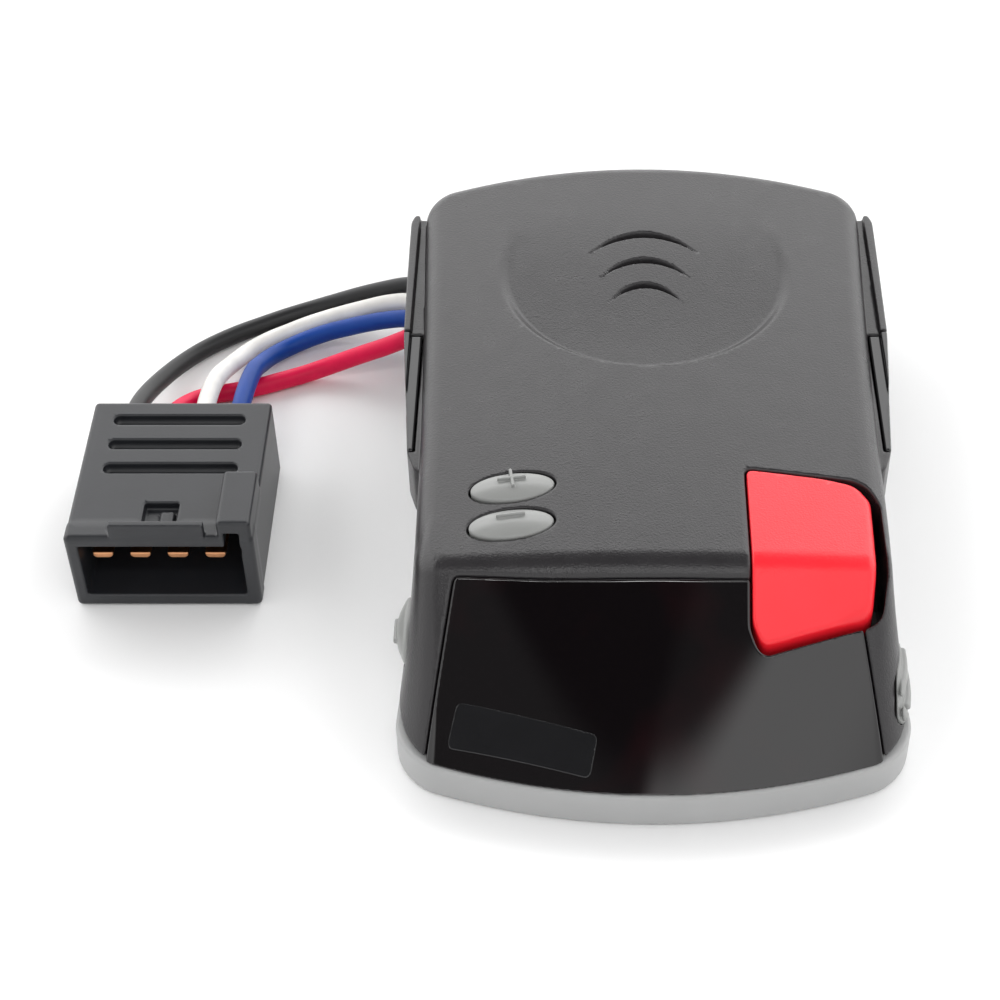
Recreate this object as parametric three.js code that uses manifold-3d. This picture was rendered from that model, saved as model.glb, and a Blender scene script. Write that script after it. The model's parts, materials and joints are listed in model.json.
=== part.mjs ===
// Trailer brake controller: a flat hand-sized case with a display window, a manual override
// lever, push buttons and a four-wire lead that ends in a four-way plug.
// Millimetres, +Z up. The origin is under the middle of the case, and the display end faces -Y.

import * as THREE from 'three';
import { mergeVertices } from 'three/addons/utils/BufferGeometryUtils.js';
import Module from 'manifold-3d';

const wasm = await Module();
wasm.setup();

// ---------- driving dimensions ----------

const GAP = 0.3; // clearance between touching pieces
const WALL = 2.2; // case wall

const CASE_FRONT = -73.4; // front of the case on its centre line
const CASE_REAR = 75.1;
const SEAM = 8; // height where the cover meets the base tray
const TOP = 33.3; // top of the crown
const CROWN = 2.0; // fall of the crown at the sides
const HALF_TOP = 43; // half width that the crown fall is measured at
const WAIST = -12; // y of the narrowest place
const ROLL = 4; // depth below the crown where the rolled edge starts
const LENS_TOP = -43.3; // y where the window in the sloping front starts
const SLOPE_TOP = -48.4; // y of the sloping front at the foot of the rolled edge

const BASE_PLAN = { front: CASE_FRONT, sag: 9.5, halfFront: 46, halfWaist: 44.4, halfRear: 46,
  rear: CASE_REAR, sagRear: 8, cornerFront: 9, cornerRear: 6 };
const TOP_PLAN = { front: SLOPE_TOP, sag: 3.6, halfFront: 41.3, halfWaist: 42.8, halfRear: 45.2,
  rear: CASE_REAR, sagRear: 8, cornerFront: 4, cornerRear: 6 };
const ROLL_SAG = 1.8; // how far the front of the top plan bows, over the rolled edge

const BUTTON = { x: -25.2, plusY: -22.3, minusY: -31.6, long: 15.3, short: 7, tilt: 9 };
const DISH = { y: 39.5, radius: 29.5, depth: 1.7, tip: 1.7 };
const SIDE_BUTTON = { x: -42.1, y: -40.5, z: 14, long: 15, short: 7.6 };
const SELECTOR = { y: -51.5, z: 12.6, long: 14, high: 6.4, travel: 3 };
const LEVER_PIVOT = { y: -20, z: 27 };
const BOARD = { half: 35, front: -55, rear: 56, bottom: 9, top: 10.6 };

const RAIL = { rear: 64.5, front: 27, tip: -12, top: 27.5, shoulder: 26.2, bottom: 14.5, inner: 42,
  outRear: 48.6, outFront: 48 };
const INSERT_FRONT = -6; // front end of the mounting insert in each rail

const WIRE = 3.8; // outer diameter of a wire
const GROMMET = { face: -46.4, y: 52.5, z: 11.2, long: 22, high: 5.8 };
const PLUG = { left: -109, right: -74, front: -21.4, rear: 16.4, top: 18.2, pitch: 7.13, x: -92.9, z: 9.2 };
const SOCKET = { wall: 2.3, bottom: 3, top: 16, rear: -4 }; // the hollow that the other half goes into
const KEY = { left: -80.4, rear: -7, top: 22.1, wall: 1.2 }; // the raised key at the plug's right
const LATCH_PLATE = { left: -100.5, right: -82.8, top: 21.5, thick: 1.6 };
const LATCH_WINDOW = { left: -95.1, right: -88.6, front: -18.1, rear: -11.9, bottom: 16.5 };
const GRIP_SLOT = { x: -91.6, ys: [11.1, 4.2, -2.5], long: 25.7, wide: 2.6, depth: 1.8 };
const LOCK_SLOT = { front: 6, rear: 9 }; // cut across the underside for the terminal lock

const SCREWS = [[-39.3, -26], [39.3, -32], [-40, 33], [40, 33]];
const BOARD_POSTS = [[-28, -35], [28, -35], [-28, 50], [28, 50]];
const MOUNT_HOLES = [[-20, 5], [20, 5]];
const BUTTON_BOARD = { bottom: 23, top: 24.2 };
const BUTTON_SEAT_DEPTH = 1.9; // depth below the crown where a button's oval foot starts

// ---------- colours ----------

const finish = {
  charcoal: { color: 0x35312f, roughness: 0.55, metalness: 0 },
  lightGrey: { color: 0x8b8c8a, roughness: 0.45, metalness: 0 },
  buttonGrey: { color: 0x777b79, roughness: 0.35, metalness: 0 },
  smoked: { color: 0x0b090b, roughness: 0.08, metalness: 0 },
  red: { color: 0xd8101c, roughness: 0.4, metalness: 0 },
  blackGloss: { color: 0x0c0c0e, roughness: 0.12, metalness: 0 },
  blackPlastic: { color: 0x222325, roughness: 0.5, metalness: 0 },
  rubber: { color: 0x1b1b1c, roughness: 0.8, metalness: 0 },
  board: { color: 0x1f5a34, roughness: 0.5, metalness: 0 },
  copper: { color: 0xb9713c, roughness: 0.3, metalness: 1 },
  steel: { color: 0xa5a8aa, roughness: 0.3, metalness: 1 },
  aluminium: { color: 0xb9bcc0, roughness: 0.4, metalness: 1 },
  ferrite: { color: 0x3f4144, roughness: 0.7, metalness: 0 },
  display: { color: 0x1a1416, roughness: 0.3, metalness: 0 },
  wireBlack: { color: 0x19191a, roughness: 0.4, metalness: 0 },
  wireRed: { color: 0xc8142c, roughness: 0.4, metalness: 0 },
  wireWhite: { color: 0xe2e0dc, roughness: 0.4, metalness: 0 },
  wireBlue: { color: 0x1b3f9c, roughness: 0.4, metalness: 0 },
};

const unit = new THREE.Group();

// ---------- solids ----------

function solid(geometry) {
  const bare = geometry.clone();
  bare.deleteAttribute('normal');
  bare.deleteAttribute('uv');
  const merged = mergeVertices(bare, 1e-4);
  return new wasm.Manifold(new wasm.Mesh({
    numProp: 3,
    vertProperties: new Float32Array(merged.attributes.position.array),
    triVerts: new Uint32Array(merged.index.array),
  }));
}

function geometryOf(manifold) {
  const mesh = manifold.getMesh();
  const geometry = new THREE.BufferGeometry();
  geometry.setAttribute('position', new THREE.BufferAttribute(new Float32Array(mesh.vertProperties), 3));
  geometry.setIndex(new THREE.BufferAttribute(new Uint32Array(mesh.triVerts), 1));
  geometry.computeVertexNormals();
  return geometry;
}

function add(name, shape, look) {
  const mesh = new THREE.Mesh(geometryOf(shape), new THREE.MeshStandardMaterial(finish[look]));
  mesh.name = name;
  unit.add(mesh);
}

// A copy of a shape, moved, turned, stretched or mirrored.
function placed(shape, ...matrices) {
  const geometry = geometryOf(shape);
  for (const matrix of matrices) {
    geometry.applyMatrix4(matrix);
    if (matrix.determinant() < 0) geometry.index.array.reverse();
  }
  return solid(geometry);
}

const moved = (x, y, z) => new THREE.Matrix4().makeTranslation(x, y, z);
const stretched = (x, y, z) => new THREE.Matrix4().makeScale(x, y, z);
const turnedAboutZ = (degrees) => new THREE.Matrix4().makeRotationZ(THREE.MathUtils.degToRad(degrees));
const turnedAboutY = (degrees) => new THREE.Matrix4().makeRotationY(THREE.MathUtils.degToRad(degrees));

// The same shape on the right (side 1) or mirrored to the left (side -1).
function onSide(side, shape) {
  return side > 0 ? shape : placed(shape, stretched(-1, 1, 1));
}

function joined(shapes) {
  return shapes.reduce((whole, shape) => whole.add(shape));
}

function cut(whole, ...tools) {
  return tools.reduce((left, tool) => left.subtract(tool), whole);
}

function box(x0, x1, y0, y1, z0, z1) {
  const geometry = new THREE.BoxGeometry(x1 - x0, y1 - y0, z1 - z0);
  return solid(geometry.translate((x0 + x1) / 2, (y0 + y1) / 2, (z0 + z1) / 2));
}

function centredBox(x, y, long, wide, z0, z1) {
  return box(x - long / 2, x + long / 2, y - wide / 2, y + wide / 2, z0, z1);
}

// A round bar from one height to another.
function post(x, y, radius, z0, z1, sides = 16) {
  const geometry = new THREE.CylinderGeometry(radius, radius, z1 - z0, sides);
  return solid(geometry.rotateX(Math.PI / 2).translate(x, y, (z0 + z1) / 2));
}

function barAlongX(y, z, radius, x0, x1, sides = 16) {
  const geometry = new THREE.CylinderGeometry(radius, radius, x1 - x0, sides);
  return solid(geometry.rotateZ(Math.PI / 2).translate((x0 + x1) / 2, y, z));
}

function barAlongY(x, z, radius, y0, y1, sides = 16) {
  const geometry = new THREE.CylinderGeometry(radius, radius, y1 - y0, sides);
  return solid(geometry.translate(x, (y0 + y1) / 2, z));
}

// A flat outline pushed up from z0 to z1.
function plate(outline, z0, z1) {
  const depth = z1 - z0;
  const geometry = new THREE.ExtrudeGeometry(outline, { depth, bevelEnabled: false, curveSegments: 6 });
  return solid(geometry.translate(0, 0, z0));
}

function polygon(points) {
  return new THREE.Shape(points.map(([x, y]) => new THREE.Vector2(x, y)));
}

// An outline whose corners are rounded by a radius each, as far as its sides have room.
function roundedPolygon(corners) {
  const shape = new THREE.Shape();
  corners.forEach(([x, y, radius], i) => {
    const here = new THREE.Vector2(x, y);
    const before = new THREE.Vector2(...corners.at(i - 1).slice(0, 2)).sub(here);
    const after = new THREE.Vector2(...corners[(i + 1) % corners.length].slice(0, 2)).sub(here);
    const room = Math.min(radius, before.length() * 0.48, after.length() * 0.48);
    const start = here.clone().addScaledVector(before.normalize(), room);
    const end = here.clone().addScaledVector(after.normalize(), room);
    if (i === 0) shape.moveTo(start.x, start.y);
    else shape.lineTo(start.x, start.y);
    shape.quadraticCurveTo(x, y, end.x, end.y);
  });
  shape.closePath();
  return shape;
}

function roundedRectangle(x, y, long, wide, radius) {
  const [a, b] = [long / 2, wide / 2];
  return roundedPolygon([[x - a, y - b, radius], [x + a, y - b, radius],
    [x + a, y + b, radius], [x - a, y + b, radius]]);
}

function ovalDisc(long, short, z0, z1) {
  const disc = new THREE.CylinderGeometry(1, 1, z1 - z0, 20).rotateX(Math.PI / 2);
  return solid(disc.scale(long / 2, short / 2, 1).translate(0, 0, (z0 + z1) / 2));
}

// A low dome on an oval foot. It stands on z = 0 and points up.
function ovalButton(long, short, footHigh, domeHigh, sides = 20) {
  const foot = new THREE.CylinderGeometry(1, 1, 1, sides).rotateX(Math.PI / 2)
    .scale(long / 2, short / 2, footHigh).translate(0, 0, footHigh / 2);
  const cap = new THREE.SphereGeometry(1, sides, 8).rotateX(Math.PI / 2)
    .scale(long / 2, short / 2, domeHigh).translate(0, 0, footHigh);
  const above = centredBox(0, 0, long + 2, short + 2, footHigh - 0.01, footHigh + domeHigh + 1);
  return solid(foot).add(solid(cap).intersect(above));
}

// ---------- outer form of the case ----------

const FRONT_STEPS = 5;
const CORNER_STEPS = 3;
const SIDE_STEPS = 6;
const REAR_STEPS = 5;

function halfWidth(plan, y) {
  if (y < WAIST) {
    return plan.halfWaist + (plan.halfFront - plan.halfWaist) * ((WAIST - y) / (WAIST + 60)) ** 2;
  }
  return plan.halfWaist + (plan.halfRear - plan.halfWaist) * ((y - WAIST) / (62 - WAIST)) ** 1.3;
}

function bend(a, control, b, steps) {
  return new THREE.QuadraticBezierCurve(a, control, b).getPoints(steps).slice(1);
}

// The plan outline, counterclockwise from the middle of the front.
function outline(plan) {
  const frontAt = (x) => plan.front + plan.sag * (x / plan.halfFront) ** 2;
  const rearAt = (x) => plan.rear - plan.sagRear * (x / plan.halfRear) ** 2;
  const half = [];
  const frontEnd = plan.halfFront - plan.cornerFront;
  for (let i = 0; i <= FRONT_STEPS; i += 1) {
    const x = (frontEnd * i) / FRONT_STEPS;
    half.push(new THREE.Vector2(x, frontAt(x)));
  }
  const sideStart = frontAt(plan.halfFront) + plan.cornerFront;
  const sideEnd = rearAt(plan.halfRear) - plan.cornerRear;
  const wide = (y) => new THREE.Vector2(halfWidth(plan, y), y);
  half.push(...bend(half.at(-1), new THREE.Vector2(plan.halfFront, frontAt(plan.halfFront)),
    wide(sideStart), CORNER_STEPS));
  for (let i = 1; i <= SIDE_STEPS; i += 1) {
    half.push(wide(sideStart + ((sideEnd - sideStart) * i) / SIDE_STEPS));
  }
  const rearEnd = plan.halfRear - plan.cornerRear;
  half.push(...bend(half.at(-1), new THREE.Vector2(plan.halfRear, rearAt(plan.halfRear)),
    new THREE.Vector2(rearEnd, rearAt(rearEnd)), CORNER_STEPS));
  for (let i = 1; i <= REAR_STEPS; i += 1) {
    const x = rearEnd * (1 - i / REAR_STEPS);
    half.push(new THREE.Vector2(x, rearAt(x)));
  }
  const mirrored = half.slice(1, -1).reverse().map((p) => new THREE.Vector2(-p.x, p.y));
  return [...half, ...mirrored];
}

function mixPlans(a, b, t) {
  return Object.fromEntries(Object.keys(a).map((key) => [key, a[key] + (b[key] - a[key]) * t]));
}

function crownHeight(x) {
  return TOP - CROWN * (x / HALF_TOP) ** 2;
}

const BUTTON_SEAT = crownHeight(BUTTON.x) - BUTTON_SEAT_DEPTH;
const KEY_RING_TOP = BUTTON_SEAT - 1.6 - GAP;

function insetPlan(plan, side, front) {
  return { ...plan, front: plan.front + front, rear: plan.rear - side, halfFront: plan.halfFront - side,
    halfWaist: plan.halfWaist - side, halfRear: plan.halfRear - side };
}

// The case as a stack of outlines, from a low level up the sloping front and over the rolled
// edge to the crown. inward shrinks it all round, for the inside of a wall.
function caseForm(inward, floor) {
  const low = insetPlan(BASE_PLAN, inward, inward * 1.7);
  const high = insetPlan(TOP_PLAN, inward, inward * 1.7);
  const rings = [];
  const wallTop = TOP - CROWN - ROLL;
  for (const t of [0, 0.5, 1]) {
    const height = floor + (wallTop - floor) * t;
    const rise = (height - SEAM) / (wallTop - SEAM);
    rings.push({ points: outline(mixPlans(low, high, Math.max(rise, 0))), z: () => height - inward * t });
  }
  const roll = [[2.3, 0.5, 4.85], [1.0, 1.5, 6.55], [0.25, 3.2, 8.1], [0, 5.5, 9.8]];
  for (const [depth, side, front] of roll) {
    const points = outline({ ...insetPlan(high, side, front), sag: ROLL_SAG });
    rings.push({ points, z: (x) => crownHeight(x) - depth - inward });
  }
  const rim = rings.at(-1).points;
  for (const share of [0.62, 0.25]) {
    const points = rim.map((p) => new THREE.Vector2(p.x * share, 15 + (p.y - 15) * share));
    rings.push({ points, z: (x) => crownHeight(x) - inward });
  }
  rings.reverse();
  const around = rim.length;
  const geometry = new THREE.CylinderGeometry(1, 1, 1, around, rings.length - 1);
  geometry.deleteAttribute('normal');
  geometry.deleteAttribute('uv');
  const form = mergeVertices(geometry, 1e-4);
  const position = form.attributes.position;
  for (let i = 0; i < position.count; i += 1) {
    const [x, y, z] = [position.getX(i), position.getY(i), position.getZ(i)];
    const ring = rings[Math.round((0.5 - y) * (rings.length - 1))];
    if (Math.hypot(x, z) < 0.5) {
      position.setXYZ(i, 0, 15, ring.z(0));
    } else {
      const turn = Math.atan2(x, z) / (2 * Math.PI);
      const p = ring.points[Math.round((turn + 1) * around) % around];
      position.setXYZ(i, p.x, p.y, ring.z(p.x));
    }
  }
  return solid(form);
}

const outer = caseForm(0, SEAM + GAP);
const inner = caseForm(WALL, SEAM - 2);

// ---------- regions cut out of the front and top, as plan outlines ----------

const leverOutline = [[17.2, -18, 1.5], [37.2, -20.4, 5], [39.5, -24.5, 1], [39, -41, 1],
  [38.2, -47.1, 2], [18.7, -52.3, 2], [17, -49, 1]];
const pocketOutline = [[16.9, -17.7, 1.7], [38.2, -19.9, 6], [41.2, -25, 1], [41.2, -40, 1],
  [39.8, -48, 3], [18.5, -53.8, 2.4], [16.7, -50, 1]];
const lensOutline = [[-35.2, LENS_TOP + 1.4, 1.2], [-39.9, -64, 2], [-42.4, -80, 2], [42.4, -80, 2],
  [39.9, -64, 2], [35.2, LENS_TOP + 1.4, 1.2], [18, LENS_TOP + 0.2, 8], [-18, LENS_TOP + 0.2, 8]];

function grown(corners, by) {
  const middle = [
    corners.reduce((sum, c) => sum + c[0], 0) / corners.length,
    corners.reduce((sum, c) => sum + c[1], 0) / corners.length,
  ];
  return corners.map(([x, y, r]) => [x + Math.sign(x - middle[0]) * by, y + Math.sign(y - middle[1]) * by,
    Math.max(r + by, 0.5)]);
}

function column(corners) {
  return plate(roundedPolygon(corners), -5, TOP + 5);
}

// ---------- base tray ----------

function baseTray() {
  const floor = 2;
  const plan = polygon(outline(BASE_PLAN).map((p) => [p.x, p.y]));
  const inside = polygon(outline(insetPlan(BASE_PLAN, WALL, WALL)).map((p) => [p.x, p.y]));
  let tray = plate(plan, 0, SEAM).subtract(plate(inside, floor, SEAM + 1));
  for (const [x, y] of SCREWS) {
    tray = tray.add(post(x, y, 4, floor - 0.5, SEAM - 1.5));
    tray = cut(tray, post(x, y, 1.9, -1, SEAM), post(x, y, 3.2, -1, 2.6));
  }
  for (const [x, y] of BOARD_POSTS) tray = tray.add(post(x, y, 2.2, floor - 0.5, BOARD.bottom - GAP));
  for (const [x, y] of MOUNT_HOLES) tray = tray.subtract(post(x, y, 2.1, -1, floor + 1));
  return tray;
}

function screw(x, y) {
  const head = post(x, y, 2.9, 0.5, 2.3);
  const shank = post(x, y, 1.4, 2.2, 17);
  const socket = post(x, y, 1.3, 0, 1.5, 6);
  return head.add(shank).subtract(socket);
}

// ---------- cover ----------

// The step along each side that carries the mounting insert.
function rail(side) {
  const lipWide = 2; // the raised outer edge of the rail
  const { inner, bottom, top, shoulder, outRear } = RAIL;
  const section = roundedPolygon([[inner, bottom, 0.5], [outRear, bottom, 1.2], [outRear, top, 0.6],
    [outRear - lipWide, top, 0.4], [outRear - lipWide, shoulder, 0.3], [inner, shoulder, 0.5]]);
  const bar = new THREE.ExtrudeGeometry(section, { depth: RAIL.rear - RAIL.tip, bevelEnabled: false,
    curveSegments: 3 });
  const along = solid(bar.rotateX(Math.PI / 2).translate(0, RAIL.rear, 0));
  const shapePlan = polygon([[inner - 2, RAIL.tip], [inner + 2.2, RAIL.tip], [45.6, INSERT_FRONT],
    [RAIL.outFront, RAIL.front], [outRear, RAIL.rear - 2.5], [outRear - 0.9, RAIL.rear],
    [inner - 2, RAIL.rear]]);
  const shaped = along.intersect(plate(shapePlan, 0, TOP));
  return onSide(side, shaped);
}

// The pocket at the front of a rail, where the mounting bracket grips.
function insertPocket(side, gap) {
  const plan = polygon([[44.2 - gap, INSERT_FRONT - gap], [52, INSERT_FRONT - gap],
    [52, RAIL.front + gap], [44.6 - gap, RAIL.front + gap]]);
  const shape = plate(plan, RAIL.bottom + 1.5 - gap, TOP);
  return onSide(side, shape);
}

function railInsert(side) {
  const flush = rail(side).intersect(insertPocket(side, 0));
  const recess = box(46.2, 52, -1, 20, 19, 21.5);
  return flush.subtract(onSide(side, recess));
}

function ovalColumn(x, y, grow) {
  const oval = new THREE.CylinderGeometry(1, 1, 30, 20).rotateX(Math.PI / 2)
    .scale(BUTTON.long / 2 + grow, BUTTON.short / 2 + grow, 1)
    .rotateZ(THREE.MathUtils.degToRad(BUTTON.tilt)).translate(x, y, TOP);
  return solid(oval);
}

// Room under the cover for a button's flange.
function flangeRoom(y) {
  const room = ovalDisc(BUTTON.long + 2.4, BUTTON.short + 2.4, -4, -0.6 + GAP);
  return placed(room, turnedAboutZ(BUTTON.tilt), moved(BUTTON.x, y, BUTTON_SEAT));
}

// A shallow round dish, tipped so that it is deepest at its front edge and fades out behind.
function thumbDish() {
  const { radius, depth, tip, y } = DISH;
  const profile = [[0, 0], [radius * 0.8, 0], [radius * 0.93, 0.25 * depth], [radius, depth],
    [radius + 4, 12], [0, 12]];
  const bowl = new THREE.LatheGeometry(profile.map(([r, z]) => new THREE.Vector2(r, z)), 32);
  bowl.rotateX(Math.PI / 2 + THREE.MathUtils.degToRad(tip));
  return solid(bowl.translate(0, y, TOP - depth / 2));
}

// A crescent groove: the space between two arcs through the same ends.
function crescent(middleY, halfChord, rise) {
  const outerArc = new THREE.QuadraticBezierCurve(new THREE.Vector2(-halfChord, middleY - rise),
    new THREE.Vector2(0, middleY + rise), new THREE.Vector2(halfChord, middleY - rise));
  const innerArc = new THREE.QuadraticBezierCurve(new THREE.Vector2(halfChord, middleY - rise),
    new THREE.Vector2(0, middleY + rise - 3.4), new THREE.Vector2(-halfChord, middleY - rise));
  const points = [...outerArc.getPoints(10), ...innerArc.getPoints(10).slice(1, -1)];
  return plate(polygon(points.map((p) => [p.x, p.y])), TOP - 2, TOP + 3);
}

function grommetOpening(gap) {
  return box(GROMMET.face - 8, -36, GROMMET.y - GROMMET.long / 2 - gap, GROMMET.y + GROMMET.long / 2 + gap,
    SEAM - 1, GROMMET.z + GROMMET.high / 2 + gap);
}

function selectorSlot(gap) {
  const shape = roundedRectangle(0, 0, SELECTOR.long + SELECTOR.travel + gap, SELECTOR.high + gap, 1);
  const slot = new THREE.ExtrudeGeometry(shape, { depth: 14, bevelEnabled: false, curveSegments: 4 })
    .rotateX(Math.PI / 2).rotateZ(Math.PI / 2);
  return solid(slot.translate(38, SELECTOR.y + SELECTOR.travel / 2, SELECTOR.z));
}

function sideButtonHole(gap) {
  const hole = new THREE.CylinderGeometry(1, 1, 14, 20).rotateZ(Math.PI / 2)
    .scale(1, SIDE_BUTTON.long / 2 + gap, SIDE_BUTTON.short / 2 + gap);
  return solid(hole.translate(-44, SIDE_BUTTON.y, SIDE_BUTTON.z));
}

// The lug under the cover that holds the middle of the lever's pin.
function hingeLug() {
  const { y, z } = LEVER_PIVOT;
  const arm = box(26, 29, y - 2.4, y + 6, z - 2.4, z + 2);
  const hanger = box(26, 29, y + 3.2, y + 6, z - 2.4, TOP - 1.5);
  return arm.add(hanger).subtract(barAlongX(y, z, 1.5 + 0.1, 20, 35));
}

function topCover() {
  const pocketWall = outer.intersect(column(grown(pocketOutline, 1.3)))
    .intersect(box(10, 43.2, -60, -10, 21, TOP + 1));
  const dishFloor = outer.intersect(post(0, DISH.y, DISH.radius + 2, TOP - 4.2, TOP + 1, 32));
  let cover = outer.subtract(inner).add(dishFloor).add(pocketWall.subtract(column(lensOutline)));
  cover = cover.add(rail(1)).add(rail(-1));
  cover = cut(cover, insertPocket(1, GAP), insertPocket(-1, GAP));
  for (const [x, y] of SCREWS) {
    const boss = post(x, y, 3.4, SEAM + GAP, 20).intersect(outer);
    cover = cover.add(boss);
    cover = cover.subtract(post(x, y, 1.4 + GAP, SEAM - 1, 18));
  }
  cover = cut(cover, column(lensOutline), column(pocketOutline), thumbDish(), grommetOpening(GAP));
  cover = cut(cover, ovalColumn(BUTTON.x, BUTTON.plusY, GAP), ovalColumn(BUTTON.x, BUTTON.minusY, GAP));
  cover = cut(cover, flangeRoom(BUTTON.plusY), flangeRoom(BUTTON.minusY));
  cover = cut(cover, sideButtonHole(GAP), selectorSlot(2 * GAP));
  cover = cut(cover, crescent(48.6, 10.9, 3.4), crescent(40.8, 9.1, 3.1), crescent(33.6, 7.5, 2.9));
  const hingeRoom = box(15, 41.5, LEVER_PIVOT.y - 4, LEVER_PIVOT.y + 3, LEVER_PIVOT.z - 5, TOP - 4);
  return cover.subtract(hingeRoom).add(hingeLug());
}

// ---------- lens, lever and buttons ----------

function displayLens() {
  const region = grown(lensOutline, -GAP);
  const skin = outer.subtract(caseForm(2, SEAM - 2)).intersect(column(region));
  return cut(skin, column(grown(pocketOutline, 0.02)));
}

function leverEar(x) {
  const { y, z } = LEVER_PIVOT;
  const eye = box(x, x + 2.4, y - 3, y + 2.2, z - 2.4, z + 1.9);
  const root = box(x, x + 2.4, y - 4, y - 0.8, z, TOP);
  return eye.add(root.intersect(below(1.5)));
}

// The space below the case's outer surface, by more than a depth.
function below(depth) {
  return placed(outer, moved(0, 0, -depth));
}

function overrideLever() {
  const skirt = outer.intersect(column(leverOutline)).subtract(below(6.2));
  const hollow = below(2.4).intersect(column(grown(leverOutline, -2)));
  const ribs = [23.5, 31.5].map((x) => box(x, x + 1.2, -46, -21, 12, TOP)
    .intersect(below(1)).subtract(below(5.6)));
  const lever = joined([skirt.subtract(hollow), ...ribs, leverEar(20), leverEar(33.5)]);
  const lugRoom = box(25.2, 29.8, LEVER_PIVOT.y - 5, LEVER_PIVOT.y + 6, 15, LEVER_PIVOT.z + 2.8);
  return cut(lever, barAlongX(LEVER_PIVOT.y, LEVER_PIVOT.z, 1.5 + 0.08, 10, 42), lugRoom);
}

function topButton(y, mark) {
  const cap = ovalButton(BUTTON.long, BUTTON.short, 1.6, 1.3);
  const flange = ovalDisc(BUTTON.long + 1.4, BUTTON.short + 1.4, -1.6, -0.6);
  const neck = ovalDisc(BUTTON.long, BUTTON.short, -1, 0.5);
  const stem = post(0, 0, 1.6, -3, -1);
  const whole = joined([cap, neck, flange, stem, ...mark]);
  return placed(whole, turnedAboutZ(BUTTON.tilt), moved(BUTTON.x, y, BUTTON_SEAT));
}

function markBar(long, wide) {
  return centredBox(0, 0, long, wide, 2.2, 3.1);
}

function keyRing(y) {
  return post(BUTTON.x, y, 4.4, BUTTON_BOARD.top + GAP, KEY_RING_TOP, 24)
    .subtract(post(BUTTON.x, y, 3.6, BUTTON_BOARD.top - 1, KEY_RING_TOP + 1, 24));
}

function sideButton() {
  const cap = ovalButton(SIDE_BUTTON.long, SIDE_BUTTON.short, 2.2, 1.9);
  const ridge = centredBox(0, 0, 5.2, 1.2, 3.2, 4.7);
  const neck = ovalDisc(SIDE_BUTTON.long, SIDE_BUTTON.short, -3.4, 0.5);
  const flange = ovalDisc(SIDE_BUTTON.long + 1.2, SIDE_BUTTON.short + 1.2, -4.2, -3);
  const stem = post(0, 0, 1.8, -5.6, -3.2);
  const whole = joined([cap, ridge, neck, flange, stem]);
  const { x, y, z } = SIDE_BUTTON;
  return placed(whole, turnedAboutZ(90), turnedAboutY(-90), moved(x, y, z));
}

function sideSelector() {
  const { y, z, long, high } = SELECTOR;
  const [near, far] = [y - long / 2, y + long / 2];
  const backPlate = box(38.6, 39.8, near + 2.4, far + 1.4, z - high / 2 - 0.6, z + high / 2 + 1.4)
    .intersect(caseForm(WALL + GAP, SEAM));
  const slab = box(39.4, 52, near, far, z - high / 2, z + high / 2).intersect(caseForm(-0.2, SEAM));
  const bars = [-2.4, 1].map((up) => box(42, 52, near + 2.6, far - 0.6, z + up, z + up + 1.4));
  const end = box(40, 52, near, near + 1.8, z - 2.4, z + 2.4);
  const raised = joined([...bars, end]).intersect(caseForm(-1.1, SEAM));
  const stem = box(36.5, 38.8, y + 1.6, y + 4, z - 1.2, z + 1.2);
  return joined([backPlate, slab, raised, stem]);
}

// ---------- parts on the boards ----------

function mainBoard() {
  const { half, front, rear, bottom, top } = BOARD;
  let board = plate(roundedRectangle(0, (front + rear) / 2, 2 * half, rear - front, 3), bottom, top);
  for (const [x, y] of BOARD_POSTS) board = board.subtract(post(x, y, 1.2, bottom - 1, top + 1, 12));
  return board;
}

function heatSink(z0) {
  const base = box(-8, 32, 38, 41, z0, z0 + 13);
  const fins = [0, 1, 2, 3, 4, 5, 6].map((i) => box(-8 + i * 6, -6 + i * 6, 40.5, 52, z0, z0 + 13));
  return joined([base, ...fins]);
}

function powerTransistor(x, z0) {
  const body = box(x - 4.8, x + 4.8, 33.4, 37.4, z0 + 4.5, z0 + 13);
  const legs = [-2.5, 0, 2.5].map((dx) => box(x + dx - 0.5, x + dx + 0.5, 34.8, 35.6, z0, z0 + 5));
  return joined([body, ...legs]);
}

function inductor(z0) {
  const ring = new THREE.TorusGeometry(6.5, 3, 8, 16);
  return solid(ring.translate(-18, 30, z0 + 3));
}

function terminalBlock(z0) {
  const body = box(-33, -24, 38, 56, z0, z0 + 9);
  const ports = [0, 1, 2, 3].map((i) => box(-34, -28, 39.3 + i * 4.3, 42.1 + i * 4.3, z0 + 2, z0 + 5.5));
  return cut(body, ...ports);
}

function switchBody(x, y, z0, size, high) {
  const body = centredBox(x, y, size, size, z0, z0 + high);
  return body.add(post(x, y, 1.2, z0 + high - 0.2, z0 + high + 0.5, 12));
}

// The display block and its digits' face, tipped to look out through the lens.
function displayModule(z0) {
  const body = box(-20, 12, -52.5, -40.5, z0, z0 + 6);
  const digits = [-14, -4, 6].map((x) => box(x - 3.2, x + 3.2, -51, -42, z0 + 5.8, z0 + 6.4));
  return joined([body, ...digits]);
}

// Round wire wound into a spring, flattened at the ends by the cut.
function coilSpring(x, y, radius, z0, z1, turns, thick) {
  const points = [];
  const steps = turns * 8;
  for (let i = 0; i <= steps; i += 1) {
    const angle = (i / 8) * 2 * Math.PI;
    const z = z0 + thick / 2 + ((z1 - z0 - thick) * i) / steps;
    points.push(new THREE.Vector3(x + radius * Math.cos(angle), y + radius * Math.sin(angle), z));
  }
  return tube(points, thick, steps, 5);
}

// ---------- wires ----------

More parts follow.
